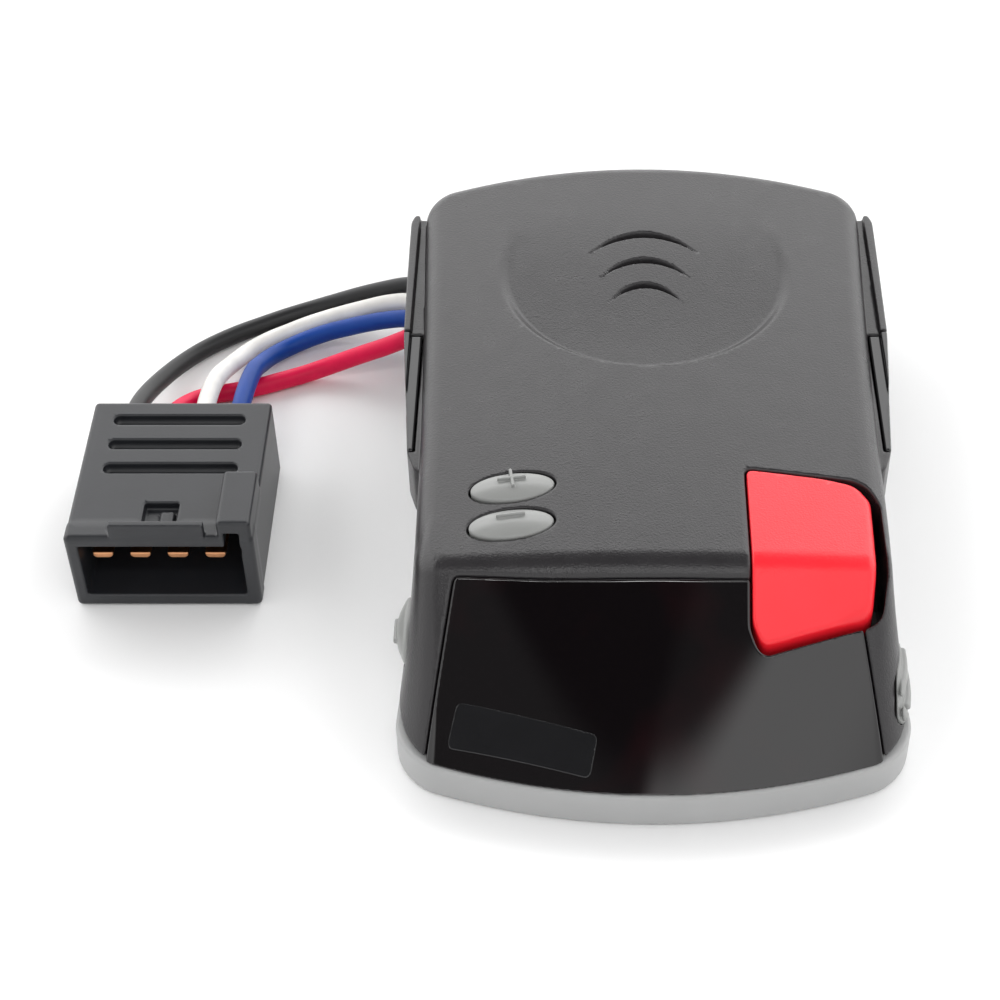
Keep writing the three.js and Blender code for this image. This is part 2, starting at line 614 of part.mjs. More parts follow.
function tube(points, diameter, steps, sides) {
  const ring = new THREE.Shape();
  for (let i = 0; i < sides; i += 1) {
    const angle = (i / sides) * 2 * Math.PI;
    const [x, y] = [(Math.cos(angle) * diameter) / 2, (Math.sin(angle) * diameter) / 2];
    if (i === 0) ring.moveTo(x, y);
    else ring.lineTo(x, y);
  }
  ring.closePath();
  const extrudePath = new THREE.CatmullRomCurve3(points);
  return solid(new THREE.ExtrudeGeometry(ring, { extrudePath, steps, bevelEnabled: false }));
}

const wireRoutes = {
  wire_black: ['wireBlack', [[-46.8, 61.2, 11], [-48.4, 61.2, 11], [-51.2, 62, 10.3], [-56.3, 62.8, 8.4],
    [-61.4, 63.2, 6.5], [-66.6, 63.1, 4.7], [-71.7, 62.5, 3.3], [-76.9, 61.1, 2.4], [-81.8, 58.9, 2],
    [-86.8, 56.1, 1.9], [-91.5, 52.7, 1.9], [-95.3, 48.9, 2.1], [-98.5, 44.1, 2.8], [-100.9, 38.9, 3.9],
    [-102.6, 33.4, 5.4], [-103.5, 27.5, 7.3], [-103.6, 22, 8.7], [-103.6, 16.7, 9.2]]],
  wire_white: ['wireWhite', [[-46.8, 55.6, 11], [-48.4, 55.6, 11], [-51, 56.4, 10.5], [-54.6, 57.1, 9.4],
    [-58.4, 57.6, 7.9], [-63.6, 58, 5.9], [-68.5, 57.9, 4.2], [-72.6, 57.2, 3], [-76.1, 56, 2.2],
    [-79.5, 54.2, 1.9], [-82.5, 51.6, 2], [-84.9, 48, 2.6], [-86.8, 43.6, 3.9], [-88.2, 38.6, 5.8],
    [-89, 34, 7.2], [-89.3, 28, 8.4], [-89.4, 22, 9], [-89.4, 16.7, 9.2]]],
  wire_blue: ['wireBlue', [[-46.8, 50, 11], [-48.4, 50, 11], [-50.6, 50.9, 10.5], [-54.5, 52.1, 9],
    [-58.5, 52.9, 7.5], [-62.4, 53.4, 6], [-66.7, 53.5, 4.6], [-70.9, 52.9, 3.3], [-74.1, 51.8, 2.5],
    [-76.8, 50, 2.3], [-79, 47.2, 2.9], [-80.4, 43.6, 4.2], [-81.3, 38.6, 6.5], [-81.9, 31, 8.2],
    [-82.2, 23, 9.1], [-82.2, 16.7, 9.2]]],
  wire_red: ['wireRed', [[-46.8, 44.4, 11], [-48.4, 44.4, 11], [-50.4, 44.3, 10.1], [-54.1, 44.4, 8.2],
    [-58, 44.6, 6.4], [-61.8, 44.5, 4.8], [-66, 44, 3.3], [-70.1, 43, 2.3], [-73.2, 42, 1.9],
    [-76.5, 40.6, 1.9], [-80.3, 39, 1.9], [-83.7, 37.9, 1.9], [-86.9, 37.1, 1.9], [-90.2, 36.2, 1.9],
    [-93.2, 34.4, 2.3], [-95.3, 30.9, 3.7], [-96.3, 26.3, 6], [-96.5, 21.4, 8.4], [-96.5, 16.7, 9.2]]],
};

function wireGrommet() {
  const { face, y, z, long, high } = GROMMET;
  const [near, far] = [y - long / 2, y + long / 2];
  const flange = box(face, face + 0.4, near + 0.5, far - 0.5, SEAM + 0.5, z + high / 2 - 0.4);
  const plug = box(face + 0.3, -40.4, near, far, SEAM + GAP, z + high / 2);
  const lip = box(-41.6, -40, near - 0.6, far + 0.6, SEAM + GAP, z + high / 2 + 0.8)
    .subtract(box(-43, -41.5, y - long, y + long, SEAM, z + high));
  return joined([flange, plug, lip]);
}

// ---------- plug ----------

function contactX(i) {
  return PLUG.x + (i - 1.5) * PLUG.pitch;
}

function plugHousing() {
  const { left, right, front, rear, top, z } = PLUG;
  const ahead = front - 3; // cutters start in front of the mouth
  const [midX, midY] = [(left + right) / 2, (front + rear) / 2];
  const body = plate(roundedRectangle(midX, midY, right - left, rear - front, 1), 0, top);
  const key = box(KEY.left, right, front, KEY.rear, top - 1, KEY.top);
  const latchPlate = box(LATCH_PLATE.left, LATCH_PLATE.right, front, front + LATCH_PLATE.thick, top - 1,
    LATCH_PLATE.top);
  const inner = right - SOCKET.wall - 0.1;
  const socket = box(left + SOCKET.wall, inner, ahead, SOCKET.rear, SOCKET.bottom, SOCKET.top);
  const keyway = box(KEY.left + KEY.wall, inner, ahead, KEY.rear - 1.5, SOCKET.top - 1, KEY.top - 2.8);
  const slots = GRIP_SLOT.ys.map((y) => plate(
    roundedRectangle(GRIP_SLOT.x, y, GRIP_SLOT.long, GRIP_SLOT.wide, 1.2), top - GRIP_SLOT.depth, top + 1));
  const latchWindow = box(LATCH_WINDOW.left, LATCH_WINDOW.right, LATCH_WINDOW.front, LATCH_WINDOW.rear,
    LATCH_WINDOW.bottom, top + 2);
  let housing = cut(joined([body, key, latchPlate]), socket, keyway, ...slots, latchWindow);
  for (let i = 0; i < 4; i += 1) {
    const at = contactX(i);
    housing = cut(housing, box(at - 2.4, at + 2.4, -6, 12.5, z - 1.9, z + 1.9));
    housing = housing.subtract(barAlongY(at, z, 2, 10, rear + 1));
  }
  return housing.subtract(box(left + 3.2, right - 4, LOCK_SLOT.front, LOCK_SLOT.rear, -1, z - 1));
}

function plugTerminal(i) {
  const { z } = PLUG;
  const at = contactX(i);
  const blade = box(at - 2, at + 2, -16.4, 0, z - 0.6, z + 0.9);
  const tip = box(at - 1.7, at + 1.7, -17.2, -16.3, z - 0.4, z + 0.7);
  const cage = box(at - 2.1, at + 2.1, -3, 6, z - 1.6, z + 1.6);
  const barrel = barAlongY(at, z, 1.5, 5, 15.8, 12);
  return joined([blade, tip, cage, barrel]);
}

// The comb that locks the terminals from below.
function plugLock() {
  const { left, right, z } = PLUG;
  const [front, rear] = [LOCK_SLOT.front + 0.4, LOCK_SLOT.rear - 0.4];
  const bar = box(left + 3.5, right - 4.3, front, rear, 0.3, 3);
  const teeth = [0, 1, 2, 3].map((i) => {
    const at = contactX(i);
    return box(at - 1.6, at + 1.6, front + 0.2, rear - 0.2, 2.8, z - 2);
  });
  return joined([bar, ...teeth]);
}

// ---------- assembly ----------

const onBoard = BOARD.top + GAP;

add('base_tray', baseTray(), 'lightGrey');
add('top_cover', topCover(), 'charcoal');
add('display_lens', displayLens(), 'smoked');
add('left_rail_insert', railInsert(-1), 'blackGloss');
add('right_rail_insert', railInsert(1), 'blackGloss');
SCREWS.forEach(([x, y], i) => add(`case_screw_${i + 1}`, screw(x, y), 'steel'));

add('override_lever', overrideLever(), 'red');
add('lever_pivot_pin', barAlongX(LEVER_PIVOT.y, LEVER_PIVOT.z, 1.5, 19, 37), 'steel');
add('lever_return_spring', coilSpring(28.6, -36, 2.4, onBoard, 24.5, 5, 0.7), 'steel');
add('lever_position_sensor', centredBox(21, -44, 4, 5, onBoard, onBoard + 4), 'blackPlastic');

add('plus_button', topButton(BUTTON.plusY, [markBar(5, 0.8), markBar(0.8, 4)]), 'buttonGrey');
add('minus_button', topButton(BUTTON.minusY, [markBar(5, 0.8)]), 'buttonGrey');
add('button_board', centredBox(BUTTON.x, -28, 22, 24, BUTTON_BOARD.bottom, BUTTON_BOARD.top), 'board');
for (const [name, y] of [['plus', BUTTON.plusY], ['minus', BUTTON.minusY]]) {
  add(`${name}_switch`, switchBody(BUTTON.x, y, BUTTON_BOARD.top + GAP, 4.6, 1.6), 'blackPlastic');
  add(`${name}_key_ring`, keyRing(y), 'rubber');
}

add('side_button', sideButton(), 'buttonGrey');
add('side_switch', box(-35.6, -31, SIDE_BUTTON.y - 3, SIDE_BUTTON.y + 3, onBoard, 17), 'blackPlastic');
add('side_selector', sideSelector(), 'buttonGrey');
add('selector_switch', box(30.5, 36.2, SELECTOR.y + 1, SELECTOR.y + 10, onBoard, 15.4), 'blackPlastic');

add('main_board', mainBoard(), 'board');
add('display_module', displayModule(onBoard), 'display');
add('heat_sink', heatSink(onBoard), 'aluminium');
[0, 12, 24].forEach((x, i) => {
  add(`power_transistor_${i + 1}`, powerTransistor(x, onBoard), 'blackPlastic');
});
add('inductor', inductor(onBoard), 'ferrite');
[-26, -13].forEach((x, i) => add(`capacitor_${i + 1}`, post(x, 12, 5, onBoard, 23), 'blackGloss'));
add('relay', centredBox(18, 16, 16, 13, onBoard, 24), 'blackPlastic');
add('terminal_block', terminalBlock(onBoard), 'blackPlastic');
add('controller_chip', centredBox(0, -12, 12, 12, onBoard, onBoard + 1.6), 'blackPlastic');
add('motion_sensor', centredBox(14, -8, 5, 5, onBoard, onBoard + 1.4), 'blackPlastic');

add('wire_grommet', wireGrommet(), 'rubber');
for (const [name, [look, route]] of Object.entries(wireRoutes)) {
  add(name, tube(route.map((p) => new THREE.Vector3(...p)), WIRE, 12, 8), look);
}
add('plug_housing', plugHousing(), 'blackPlastic');
add('plug_lock', plugLock(), 'blackPlastic');
for (let i = 0; i < 4; i += 1) add(`plug_terminal_${i + 1}`, plugTerminal(i), 'copper');

export default unit;
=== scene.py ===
"""Trailer brake controller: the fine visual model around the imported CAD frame.

Most pieces are solids given by a distance function in millimetres (negative inside), so that
every edge gets a true moulded fillet. They are meshed once and moved onto the exact surface.
"""
import json
import math

import bpy
import numpy as np
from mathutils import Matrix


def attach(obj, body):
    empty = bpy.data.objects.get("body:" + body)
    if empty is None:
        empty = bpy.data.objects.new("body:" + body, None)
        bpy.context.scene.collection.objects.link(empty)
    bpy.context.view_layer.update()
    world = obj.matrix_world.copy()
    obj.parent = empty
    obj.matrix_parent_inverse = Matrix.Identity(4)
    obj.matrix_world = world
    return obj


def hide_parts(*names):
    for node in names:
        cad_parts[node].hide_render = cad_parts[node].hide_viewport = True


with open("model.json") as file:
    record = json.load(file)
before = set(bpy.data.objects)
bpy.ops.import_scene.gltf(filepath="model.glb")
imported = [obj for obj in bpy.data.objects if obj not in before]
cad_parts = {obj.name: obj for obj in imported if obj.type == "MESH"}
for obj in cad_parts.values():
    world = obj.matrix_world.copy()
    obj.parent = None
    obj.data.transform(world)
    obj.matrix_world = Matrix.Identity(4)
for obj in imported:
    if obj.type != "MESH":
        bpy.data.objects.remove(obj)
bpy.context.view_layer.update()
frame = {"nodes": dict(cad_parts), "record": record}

import openvdb
from mathutils import Vector

MM = 0.001

# ---------- camera ----------

LENS_MM = 77.26
SENSOR_MM = 36.0
CAMERA_PLACE = (-13.2, -298.0, 305.0)
CAMERA_TILT = 45.0
CAMERA_SHIFT = -0.079


def make_camera():
    data = bpy.data.cameras.new("camera")
    data.lens = LENS_MM
    data.sensor_width = SENSOR_MM
    data.shift_x = CAMERA_SHIFT
    data.clip_start = 0.01
    camera = bpy.data.objects.new("camera", data)
    camera.location = [c * MM for c in CAMERA_PLACE]
    camera.rotation_euler = (math.radians(CAMERA_TILT), 0, 0)
    bpy.context.scene.collection.objects.link(camera)
    bpy.context.scene.camera = camera


make_camera()

# ---------- wires ----------

WIRE = 3.8
INTO_GROMMET = 1.6       # how far a lead runs on inside the grommet and inside the plug
INTO_PLUG = 3.5
WIRE_ROUTES = {
    "black": [(-46.8, 61.2, 11), (-48.4, 61.2, 11), (-51.2, 62, 10.3), (-56.3, 62.8, 8.4),
              (-61.4, 63.2, 6.5), (-66.6, 63.1, 4.7), (-71.7, 62.5, 3.3), (-76.9, 61.1, 2.4),
              (-81.8, 58.9, 2), (-86.8, 56.1, 1.9), (-91.5, 52.7, 1.9), (-95.3, 48.9, 2.1),
              (-98.5, 44.1, 2.8), (-100.9, 38.9, 3.9), (-102.6, 33.4, 5.4), (-103.5, 27.5, 7.3),
              (-103.6, 22, 8.7), (-103.6, 16.7, 9.2)],
    "white": [(-46.8, 55.6, 11), (-48.4, 55.6, 11), (-51, 56.4, 10.5), (-54.6, 57.1, 9.4),
              (-58.4, 57.6, 7.9), (-63.6, 58, 5.9), (-68.5, 57.9, 4.2), (-72.6, 57.2, 3),
              (-76.1, 56, 2.2), (-79.5, 54.2, 1.9), (-82.5, 51.6, 2), (-84.9, 48, 2.6),
              (-86.8, 43.6, 3.9), (-88.2, 38.6, 5.8), (-89, 34, 7.2), (-89.3, 28, 8.4), (-89.4, 22, 9),
              (-89.4, 16.7, 9.2)],
    "blue": [(-46.8, 50, 11), (-48.4, 50, 11), (-50.6, 50.9, 10.5), (-54.5, 52.1, 9),
             (-58.5, 52.9, 7.5), (-62.4, 53.4, 6), (-66.7, 53.5, 4.6), (-70.9, 52.9, 3.3),
             (-74.1, 51.8, 2.5), (-76.8, 50, 2.3), (-79, 47.2, 2.9), (-80.4, 43.6, 4.2),
             (-81.3, 38.6, 6.5), (-81.9, 31, 8.2), (-82.2, 23, 9.1), (-82.2, 16.7, 9.2)],
    "red": [(-46.8, 44.4, 11), (-48.4, 44.4, 11), (-50.4, 44.3, 10.1), (-54.1, 44.4, 8.2),
            (-58, 44.6, 6.4), (-61.8, 44.5, 4.8), (-66, 44, 3.3), (-70.1, 43, 2.3), (-73.2, 42, 1.9),
            (-76.5, 40.6, 1.9), (-80.3, 39, 1.9), (-83.7, 37.9, 1.9), (-86.9, 37.1, 1.9),
            (-90.2, 36.2, 1.9), (-93.2, 34.4, 2.3), (-95.3, 30.9, 3.7), (-96.3, 26.3, 6),
            (-96.5, 21.4, 8.4), (-96.5, 16.7, 9.2)],
}


def smooth_path(points, steps=6):
    """A Catmull-Rom curve through the points, as a dense list."""
    p = np.array([points[0], *points, points[-1]], float)
    p[0] = 2 * p[1] - p[2]
    p[-1] = 2 * p[-2] - p[-3]
    dense = []
    for a, b, c, d in zip(p, p[1:], p[2:], p[3:]):
        for t in np.arange(steps) / steps:
            dense.append(0.5 * (2 * b + (c - a) * t + (2 * a - 5 * b + 4 * c - d) * t**2
                                + (3 * b - a - 3 * c + d) * t**3))
    return np.array([*dense, p[-2]])


def make_wire(colour, route):
    start_x, start_y, start_z = route[0]
    end_x, end_y, end_z = route[-1]
    whole = [(start_x + INTO_GROMMET, start_y, start_z), *route, (end_x, end_y - INTO_PLUG, end_z)]
    path = smooth_path(whole) * MM
    curve = bpy.data.curves.new(f"lead_{colour}", "CURVE")
    curve.dimensions = "3D"
    curve.bevel_depth = WIRE / 2 * MM
    curve.bevel_resolution = 6
    curve.use_fill_caps = True
    spline = curve.splines.new("POLY")
    spline.points.add(len(path) - 1)
    for point, place in zip(spline.points, path):
        point.co = (*place, 1)
    spline.use_smooth = True
    lead = bpy.data.objects.new(f"lead_{colour}", curve)
    bpy.context.scene.collection.objects.link(lead)
    lead["length"] = float(np.linalg.norm(np.diff(path, axis=0), axis=1).sum())
    return lead


leads = {colour: make_wire(colour, route) for colour, route in WIRE_ROUTES.items()}

# ---------- distance functions (millimetres, negative inside) ----------
# The last number given to rmax, rmin, cut and block is the radius of the edges that they make.


def rmax(a, b, r):
    """The overlap of two solids, with the edge between them rounded to radius r."""
    corner = np.sqrt(np.maximum(a + r, 0) ** 2 + np.maximum(b + r, 0) ** 2)
    return np.minimum(np.maximum(a, b), -r) + corner


def rmin(a, b, r):
    """The union of two solids, with a fillet of radius r where they meet."""
    return -rmax(-a, -b, r)


def cut(a, b, r):
    """a less b, with the edge of the cut rounded."""
    return rmax(a, -b, r)


def ramp(x, low, high):
    """0 below low, 1 above high, smooth between."""
    t = np.clip((x - low) / (high - low), 0, 1)
    return t * t * (3 - 2 * t)


def block(x, y, z, low, high, r=0.3):
    """A box from corner low to corner high with rounded edges."""
    gaps = [np.abs(v - (a + b) / 2) - (b - a) / 2 + r for v, a, b in zip((x, y, z), low, high)]
    outside = np.sqrt(sum(np.maximum(g, 0) ** 2 for g in gaps))
    return outside + np.minimum(np.maximum(np.maximum(gaps[0], gaps[1]), gaps[2]), 0) - r


def oval(u, v, a, b):
    """Distance to an oval of half sizes a and b, close to true near its edge."""
    k = np.sqrt((u / a) ** 2 + (v / b) ** 2)
    slope = np.sqrt((u / a**2) ** 2 + (v / b**2) ** 2)
    return np.where(k < 0.05, -min(a, b), k * (k - 1) / np.maximum(slope, 1e-6))


def rounded_outline(corners, steps=6):
    """Corner points (x, y, radius) as a closed outline with its corners rounded."""
    points = []
    for i, (x, y, radius) in enumerate(corners):
        here = np.array((x, y), float)
        before = np.array(corners[i - 1][:2], float) - here
        after = np.array(corners[(i + 1) % len(corners)][:2], float) - here
        room = min(radius, 0.48 * np.linalg.norm(before), 0.48 * np.linalg.norm(after))
        start = here + before / np.linalg.norm(before) * room
        end = here + after / np.linalg.norm(after) * room
        for t in np.linspace(0, 1, steps + 1):
            points.append((1 - t) ** 2 * start + 2 * t * (1 - t) * here + t**2 * end)
    return np.array(points)


def outline_distance(points, x, y):
    """Signed distance from (x, y) to a closed outline."""
    x, y = np.broadcast_arrays(np.asarray(x, float), np.asarray(y, float))
    best = np.full(x.shape, 1e9)
    inside = np.zeros(x.shape, bool)
    for (ax, ay), (bx, by) in zip(points, np.roll(points, -1, axis=0)):
        ex, ey = bx - ax, by - ay
        along = np.clip(((x - ax) * ex + (y - ay) * ey) / max(ex * ex + ey * ey, 1e-12), 0, 1)
        best = np.minimum(best, (x - ax - along * ex) ** 2 + (y - ay - along * ey) ** 2)
        if ey != 0:
            crosses = (ay > y) != (by > y)
            inside ^= crosses & (x < ax + (y - ay) * ex / ey)
    return np.where(inside, -1, 1) * np.sqrt(best)


# ---------- the outer form of the case ----------

SEAM = 8.0
TOP = 33.3
CROWN = 2.0
FRONT = -73.4
REAR = 75.1
SLOPE = 1.3144           # how far the front leans back for each millimetre of height
WALL_TOP = 27.3
WALL = 2.2
GAP = 0.3
BEYOND = 60.0            # well outside the case, for what runs out through its sides
CROWN_HALF = 43.0        # half the width over which the top falls by CROWN
BOW_HALF = 46.0          # half the width over which the front and rear curve back by their bow
BOW = {"front": 9.5, "front_loss": 5.0, "rear": 8.0}
CORNER = {"front": 8.0, "front_loss": 4.0, "rear": 6.0}
EDGE = {"sides": 3.6, "front_loss": 2.3, "start": 5.0, "over": 8.0}

# Half the case's width at the waist, low at the seam and high at the top of the walls, and how
# much it has spread at a reach ahead of the waist and behind it.
WAIST = {"y": -12.0, "low": 44.4, "high": 42.8}
REACH = {"ahead": 48.0, "behind": 74.0}
SPREAD_AHEAD = {"low": 1.6, "high": -1.5}
SPREAD_BEHIND = {"low": 1.6, "high": 2.4}

# The thumb dish is full up to one y and gone by another. Its pad keeps the cover thick under it.
DISH = {"y": 39.5, "radius": 29.5, "depth": 1.9, "rim": 2.6, "full": 11.0, "gone": 58.0}
DISH_PAD = {"margin": 2.0, "thick": 4.2}


def crown(x):
    return TOP - CROWN * (x / CROWN_HALF) ** 2


def half_width(y, rise):
    """Half the case's width, for rise from 0 at the seam to 1 at the top of the walls."""
    ahead = np.clip((WAIST["y"] - y) / REACH["ahead"], 0, 1.4) ** 2
    behind = np.clip((y - WAIST["y"]) / REACH["behind"], 0, 1.2) ** 1.3
    low = WAIST["low"] + SPREAD_AHEAD["low"] * ahead + SPREAD_BEHIND["low"] * behind
    high = WAIST["high"] + SPREAD_AHEAD["high"] * ahead + SPREAD_BEHIND["high"] * behind
    return low + (high - low) * rise


def front_line(x, z, rise):
    bow = BOW["front"] - BOW["front_loss"] * rise
    return FRONT + np.maximum(z - SEAM - GAP, 0) * SLOPE + bow * (x / BOW_HALF) ** 2


def dish_depth(x, y):
    """How far the thumb dish lies below the crown."""
    r = np.sqrt(x**2 + (y - DISH["y"]) ** 2)
    deep = DISH["depth"] * ramp(DISH["gone"] - y, 0, DISH["gone"] - DISH["full"])
    return deep * (1 - ramp(r, DISH["radius"] - DISH["rim"], DISH["radius"]))


def case(x, y, z, inset=0.0, dish=False):
    """The case's outer form, shrunk by inset, from well below the seam up."""
    rise = np.clip((z - SEAM) / (WALL_TOP - SEAM), 0, 1.25)
    side = np.abs(x) - half_width(y, rise)
    lean = np.where(z > SEAM + GAP, math.hypot(1, SLOPE), 1)
    front = (front_line(x, z, rise) - y) / lean
    rear = y - (REAR - BOW["rear"] * (x / BOW_HALF) ** 2)
    plan = rmax(side, front, CORNER["front"] - CORNER["front_loss"] * np.clip(rise, 0, 1))
    plan = rmax(plan, rear, CORNER["rear"])
    near_front = np.clip((front - side + EDGE["start"]) / EDGE["over"], 0, 1)
    top = z - crown(x)
    if dish:
        top = top + dish_depth(x, y)
    return rmax(plan, top, EDGE["sides"] - EDGE["front_loss"] * near_front) + inset


LEVER = rounded_outline([(17.2, -18, 1.5), (37.2, -20.4, 5), (39.5, -24.5, 1), (39, -41, 1),
                         (38.2, -47.1, 2), (18.7, -52.3, 2), (17, -49, 1)])
POCKET = rounded_outline([(16.9, -17.7, 1.7), (38.2, -19.9, 6), (41.2, -25, 1), (41.2, -40, 1),
                          (39.8, -48, 3), (18.5, -53.8, 2.4), (16.7, -50, 1)])
LENS = rounded_outline([(-35.2, -41.9, 1.2), (-39.9, -64, 2), (-42.4, -80, 2), (42.4, -80, 2),
                        (39.9, -64, 2), (35.2, -41.9, 1.2), (18, -43.1, 8), (-18, -43.1, 8)])
LABEL = rounded_outline([(-34.4, -58.9, 1.2), (-9.9, -64.9, 1.2), (-11.3, -70.8, 1.2),
                         (-36.2, -64.8, 1.2)])

# ---------- meshing ----------


def finish_mesh(name, points, faces, normals):
    mesh = bpy.data.meshes.new(name)
    mesh.from_pydata(points.tolist(), [], faces)
    mesh.polygons.foreach_set("use_smooth", np.ones(len(mesh.polygons), bool))
    mesh.normals_split_custom_set_from_vertices(normals.tolist())
    piece = bpy.data.objects.new(name, mesh)
    bpy.context.scene.collection.objects.link(piece)
    return piece


def gradient(function, p, d=0.02):
    """How fast function changes along each axis at the points p."""
    columns = []
    for axis in range(3):
        ahead, behind = p.copy(), p.copy()
        ahead[:, axis] += d
        behind[:, axis] -= d
        columns.append((function(*ahead.T) - function(*behind.T)) / (2 * d))
    return np.stack(columns, axis=1)


def solid(name, function, low, high, step, coarse):
    """Meshes the solid where function is negative, inside the box from low to high.

    step is the grid's spacing, and coarse is how freely flat faces are merged. The corners are
    then moved onto the exact surface, and take their normals from it.
    """
    low, high = np.array(low, float), np.array(high, float)
    x, y, z = [np.arange(a, b + step, step, dtype=np.float32) for a, b in zip(low, high)]
    values = function(x[:, None, None], y[None, :, None], z[None, None, :])
    values = np.ascontiguousarray(np.broadcast_to(values, (len(x), len(y), len(z))), dtype=np.float32)
    band = 3 * step
    grid = openvdb.FloatGrid(band)
    grid.copyFromArray(np.clip(values, -band, band))
    points, triangles, quads = grid.convertToPolygons(isovalue=0.0, adaptivity=coarse)
    p = points.astype(float) * step + low
    for _ in range(3):
        g = gradient(function, p)
        size = np.maximum((g**2).sum(1), 0.05)
        move = (function(*p.T) / size)[:, None] * g
        length = np.linalg.norm(move, axis=1, keepdims=True)
        p -= move * np.minimum(1, 0.5 * step / np.maximum(length, 1e-9))
    g = gradient(function, p)
    normals = g / np.maximum(np.linalg.norm(g, axis=1, keepdims=True), 1e-9)
    faces = [*triangles.tolist(), *quads.tolist()]
    return finish_mesh(name, p * MM, faces, normals)


# ---------- cover, lens, lever and tray ----------

RAIL = {"rear": 64.5, "front": 27.0, "tip": -12.0, "top": 27.5, "shoulder": 26.2, "bottom": 14.5,
        "out": 48.6}
INSERT = {"front": -6.0, "inner": 44.4, "lift": 1.5}
INSERT_SLOT = {"inner": 46.2, "front": -1.0, "rear": 20.0, "low": 19.0, "high": 21.5}
BUTTONS = {"plus": (-25.2, -22.3), "minus": (-25.2, -31.6)}
BUTTON_HALF = (7.65, 3.5)
BUTTON_TILT = math.radians(9)
BUTTON_SEAT = 1.9        # how far a button's seat lies below the crown
BUTTON_HOLE_LOW = 26.0
MARK_BACK = 1.1          # the marks lie this far behind the middle of their buttons
SIDE_BUTTON = {"x": -42.1, "y": -40.5, "z": 14.0, "half": (7.5, 3.8), "inner": -36.0}
SELECTOR = {"y": -51.5, "z": 12.6, "long": 14.0, "high": 6.4, "travel": 3.0, "inner": 42.6,
            "proud": 0.2}
RIB = {"inner": 43.2, "height": 1.4, "front_gap": 2.6, "rear_gap": 0.6, "places": (-2.4, 1.0), "proud": 1.1}
UPRIGHT = {"inner": 43.6, "long": 1.8, "half": 2.4}
POCKET_WALL = 1.3
POCKET_LOW = 21.0
GROOVE = {"depth": 1.7, "start": -0.15, "full": 0.75, "edge": 0.3}
LENS_THICK = 2.0
LENS_GAP = 0.12
FILM = {"above": 0.09, "below": 0.3, "flatten": 0.85}
GROMMET = {"y": 52.5, "low": 8.3, "top": 14.1, "long": 22.0, "inner": -36.0}

RAIL_PLAN = rounded_outline([(40, RAIL["tip"], 0.3), (43.9, RAIL["tip"] + 0.6, 1.5),
                             (45.6, INSERT["front"], 1), (48.0, RAIL["front"], 1),
                             (RAIL["out"], RAIL["rear"] - 2.5, 1), (47.7, RAIL["rear"], 0.6),
                             (40, RAIL["rear"], 0.3)])
RAIL_SECTION = rounded_outline([(40, RAIL["bottom"], 0.3), (RAIL["out"], RAIL["bottom"], 1.2),
                                (RAIL["out"], RAIL["top"], 0.6), (46.7, RAIL["top"], 0.4),
                                (46.5, RAIL["shoulder"], 0.3), (40, RAIL["shoulder"], 0.3)])


def rail(x, y, z):
    side = np.abs(x)
    return rmax(outline_distance(RAIL_PLAN, side, y), outline_distance(RAIL_SECTION, side, z), 0.45)


def insert_room(x, y, z, grow):
    low = (INSERT["inner"] - grow, INSERT["front"] - grow, RAIL["bottom"] + INSERT["lift"] - grow)
    return block(np.abs(x), y, z, low, (BEYOND, RAIL["front"] + grow, BEYOND), 0.3)


def tilted(x, y, centre):
    """x and y from a top button's centre, along its long and short axes."""
    c, s = math.cos(BUTTON_TILT), math.sin(BUTTON_TILT)
    u, v = x - centre[0], y - centre[1]
    return u * c + v * s, v * c - u * s


def button_hole(x, y, centre, grow):
    u, v = tilted(x, y, centre)
    return oval(u, v, BUTTON_HALF[0] + grow, BUTTON_HALF[1] + grow)


def crescent_outline(middle, chord, rise, thick):
    """The space between two arcs through the same ends."""
    t = np.linspace(0, 1, 13)[:, None]

    def arc(peak):
        a, b, c = [np.array(v, float) for v in ((-chord, middle), (0, peak), (chord, middle))]
        return (1 - t) ** 2 * a + 2 * t * (1 - t) * b + t**2 * c

    return np.concatenate([arc(middle + 2 * rise), arc(middle + 2 * (rise - thick))[-2:0:-1]])


CRESCENTS = [crescent_outline(45.0, 10.9, 6.6, 1.9), crescent_outline(37.5, 9.1, 6.2, 1.8),
             crescent_outline(30.2, 7.5, 6.1, 1.8)]


def selector_slot(x, y, z, grow):
    long, high = SELECTOR["long"] / 2 + grow, SELECTOR["high"] / 2 + grow
    low = (SELECTOR["inner"] - grow, SELECTOR["y"] - long, SELECTOR["z"] - high)
    far = (BEYOND, SELECTOR["y"] + long + SELECTOR["travel"], SELECTOR["z"] + high)
    return block(x, y, z, low, far, 0.8)


def grommet_gap(x, y, z, grow):
    half = GROMMET["long"] / 2 + grow
    low = (-BEYOND, GROMMET["y"] - half, 0)
    return block(x, y, z, low, (GROMMET["inner"], GROMMET["y"] + half, GROMMET["top"] + grow), 0.4)


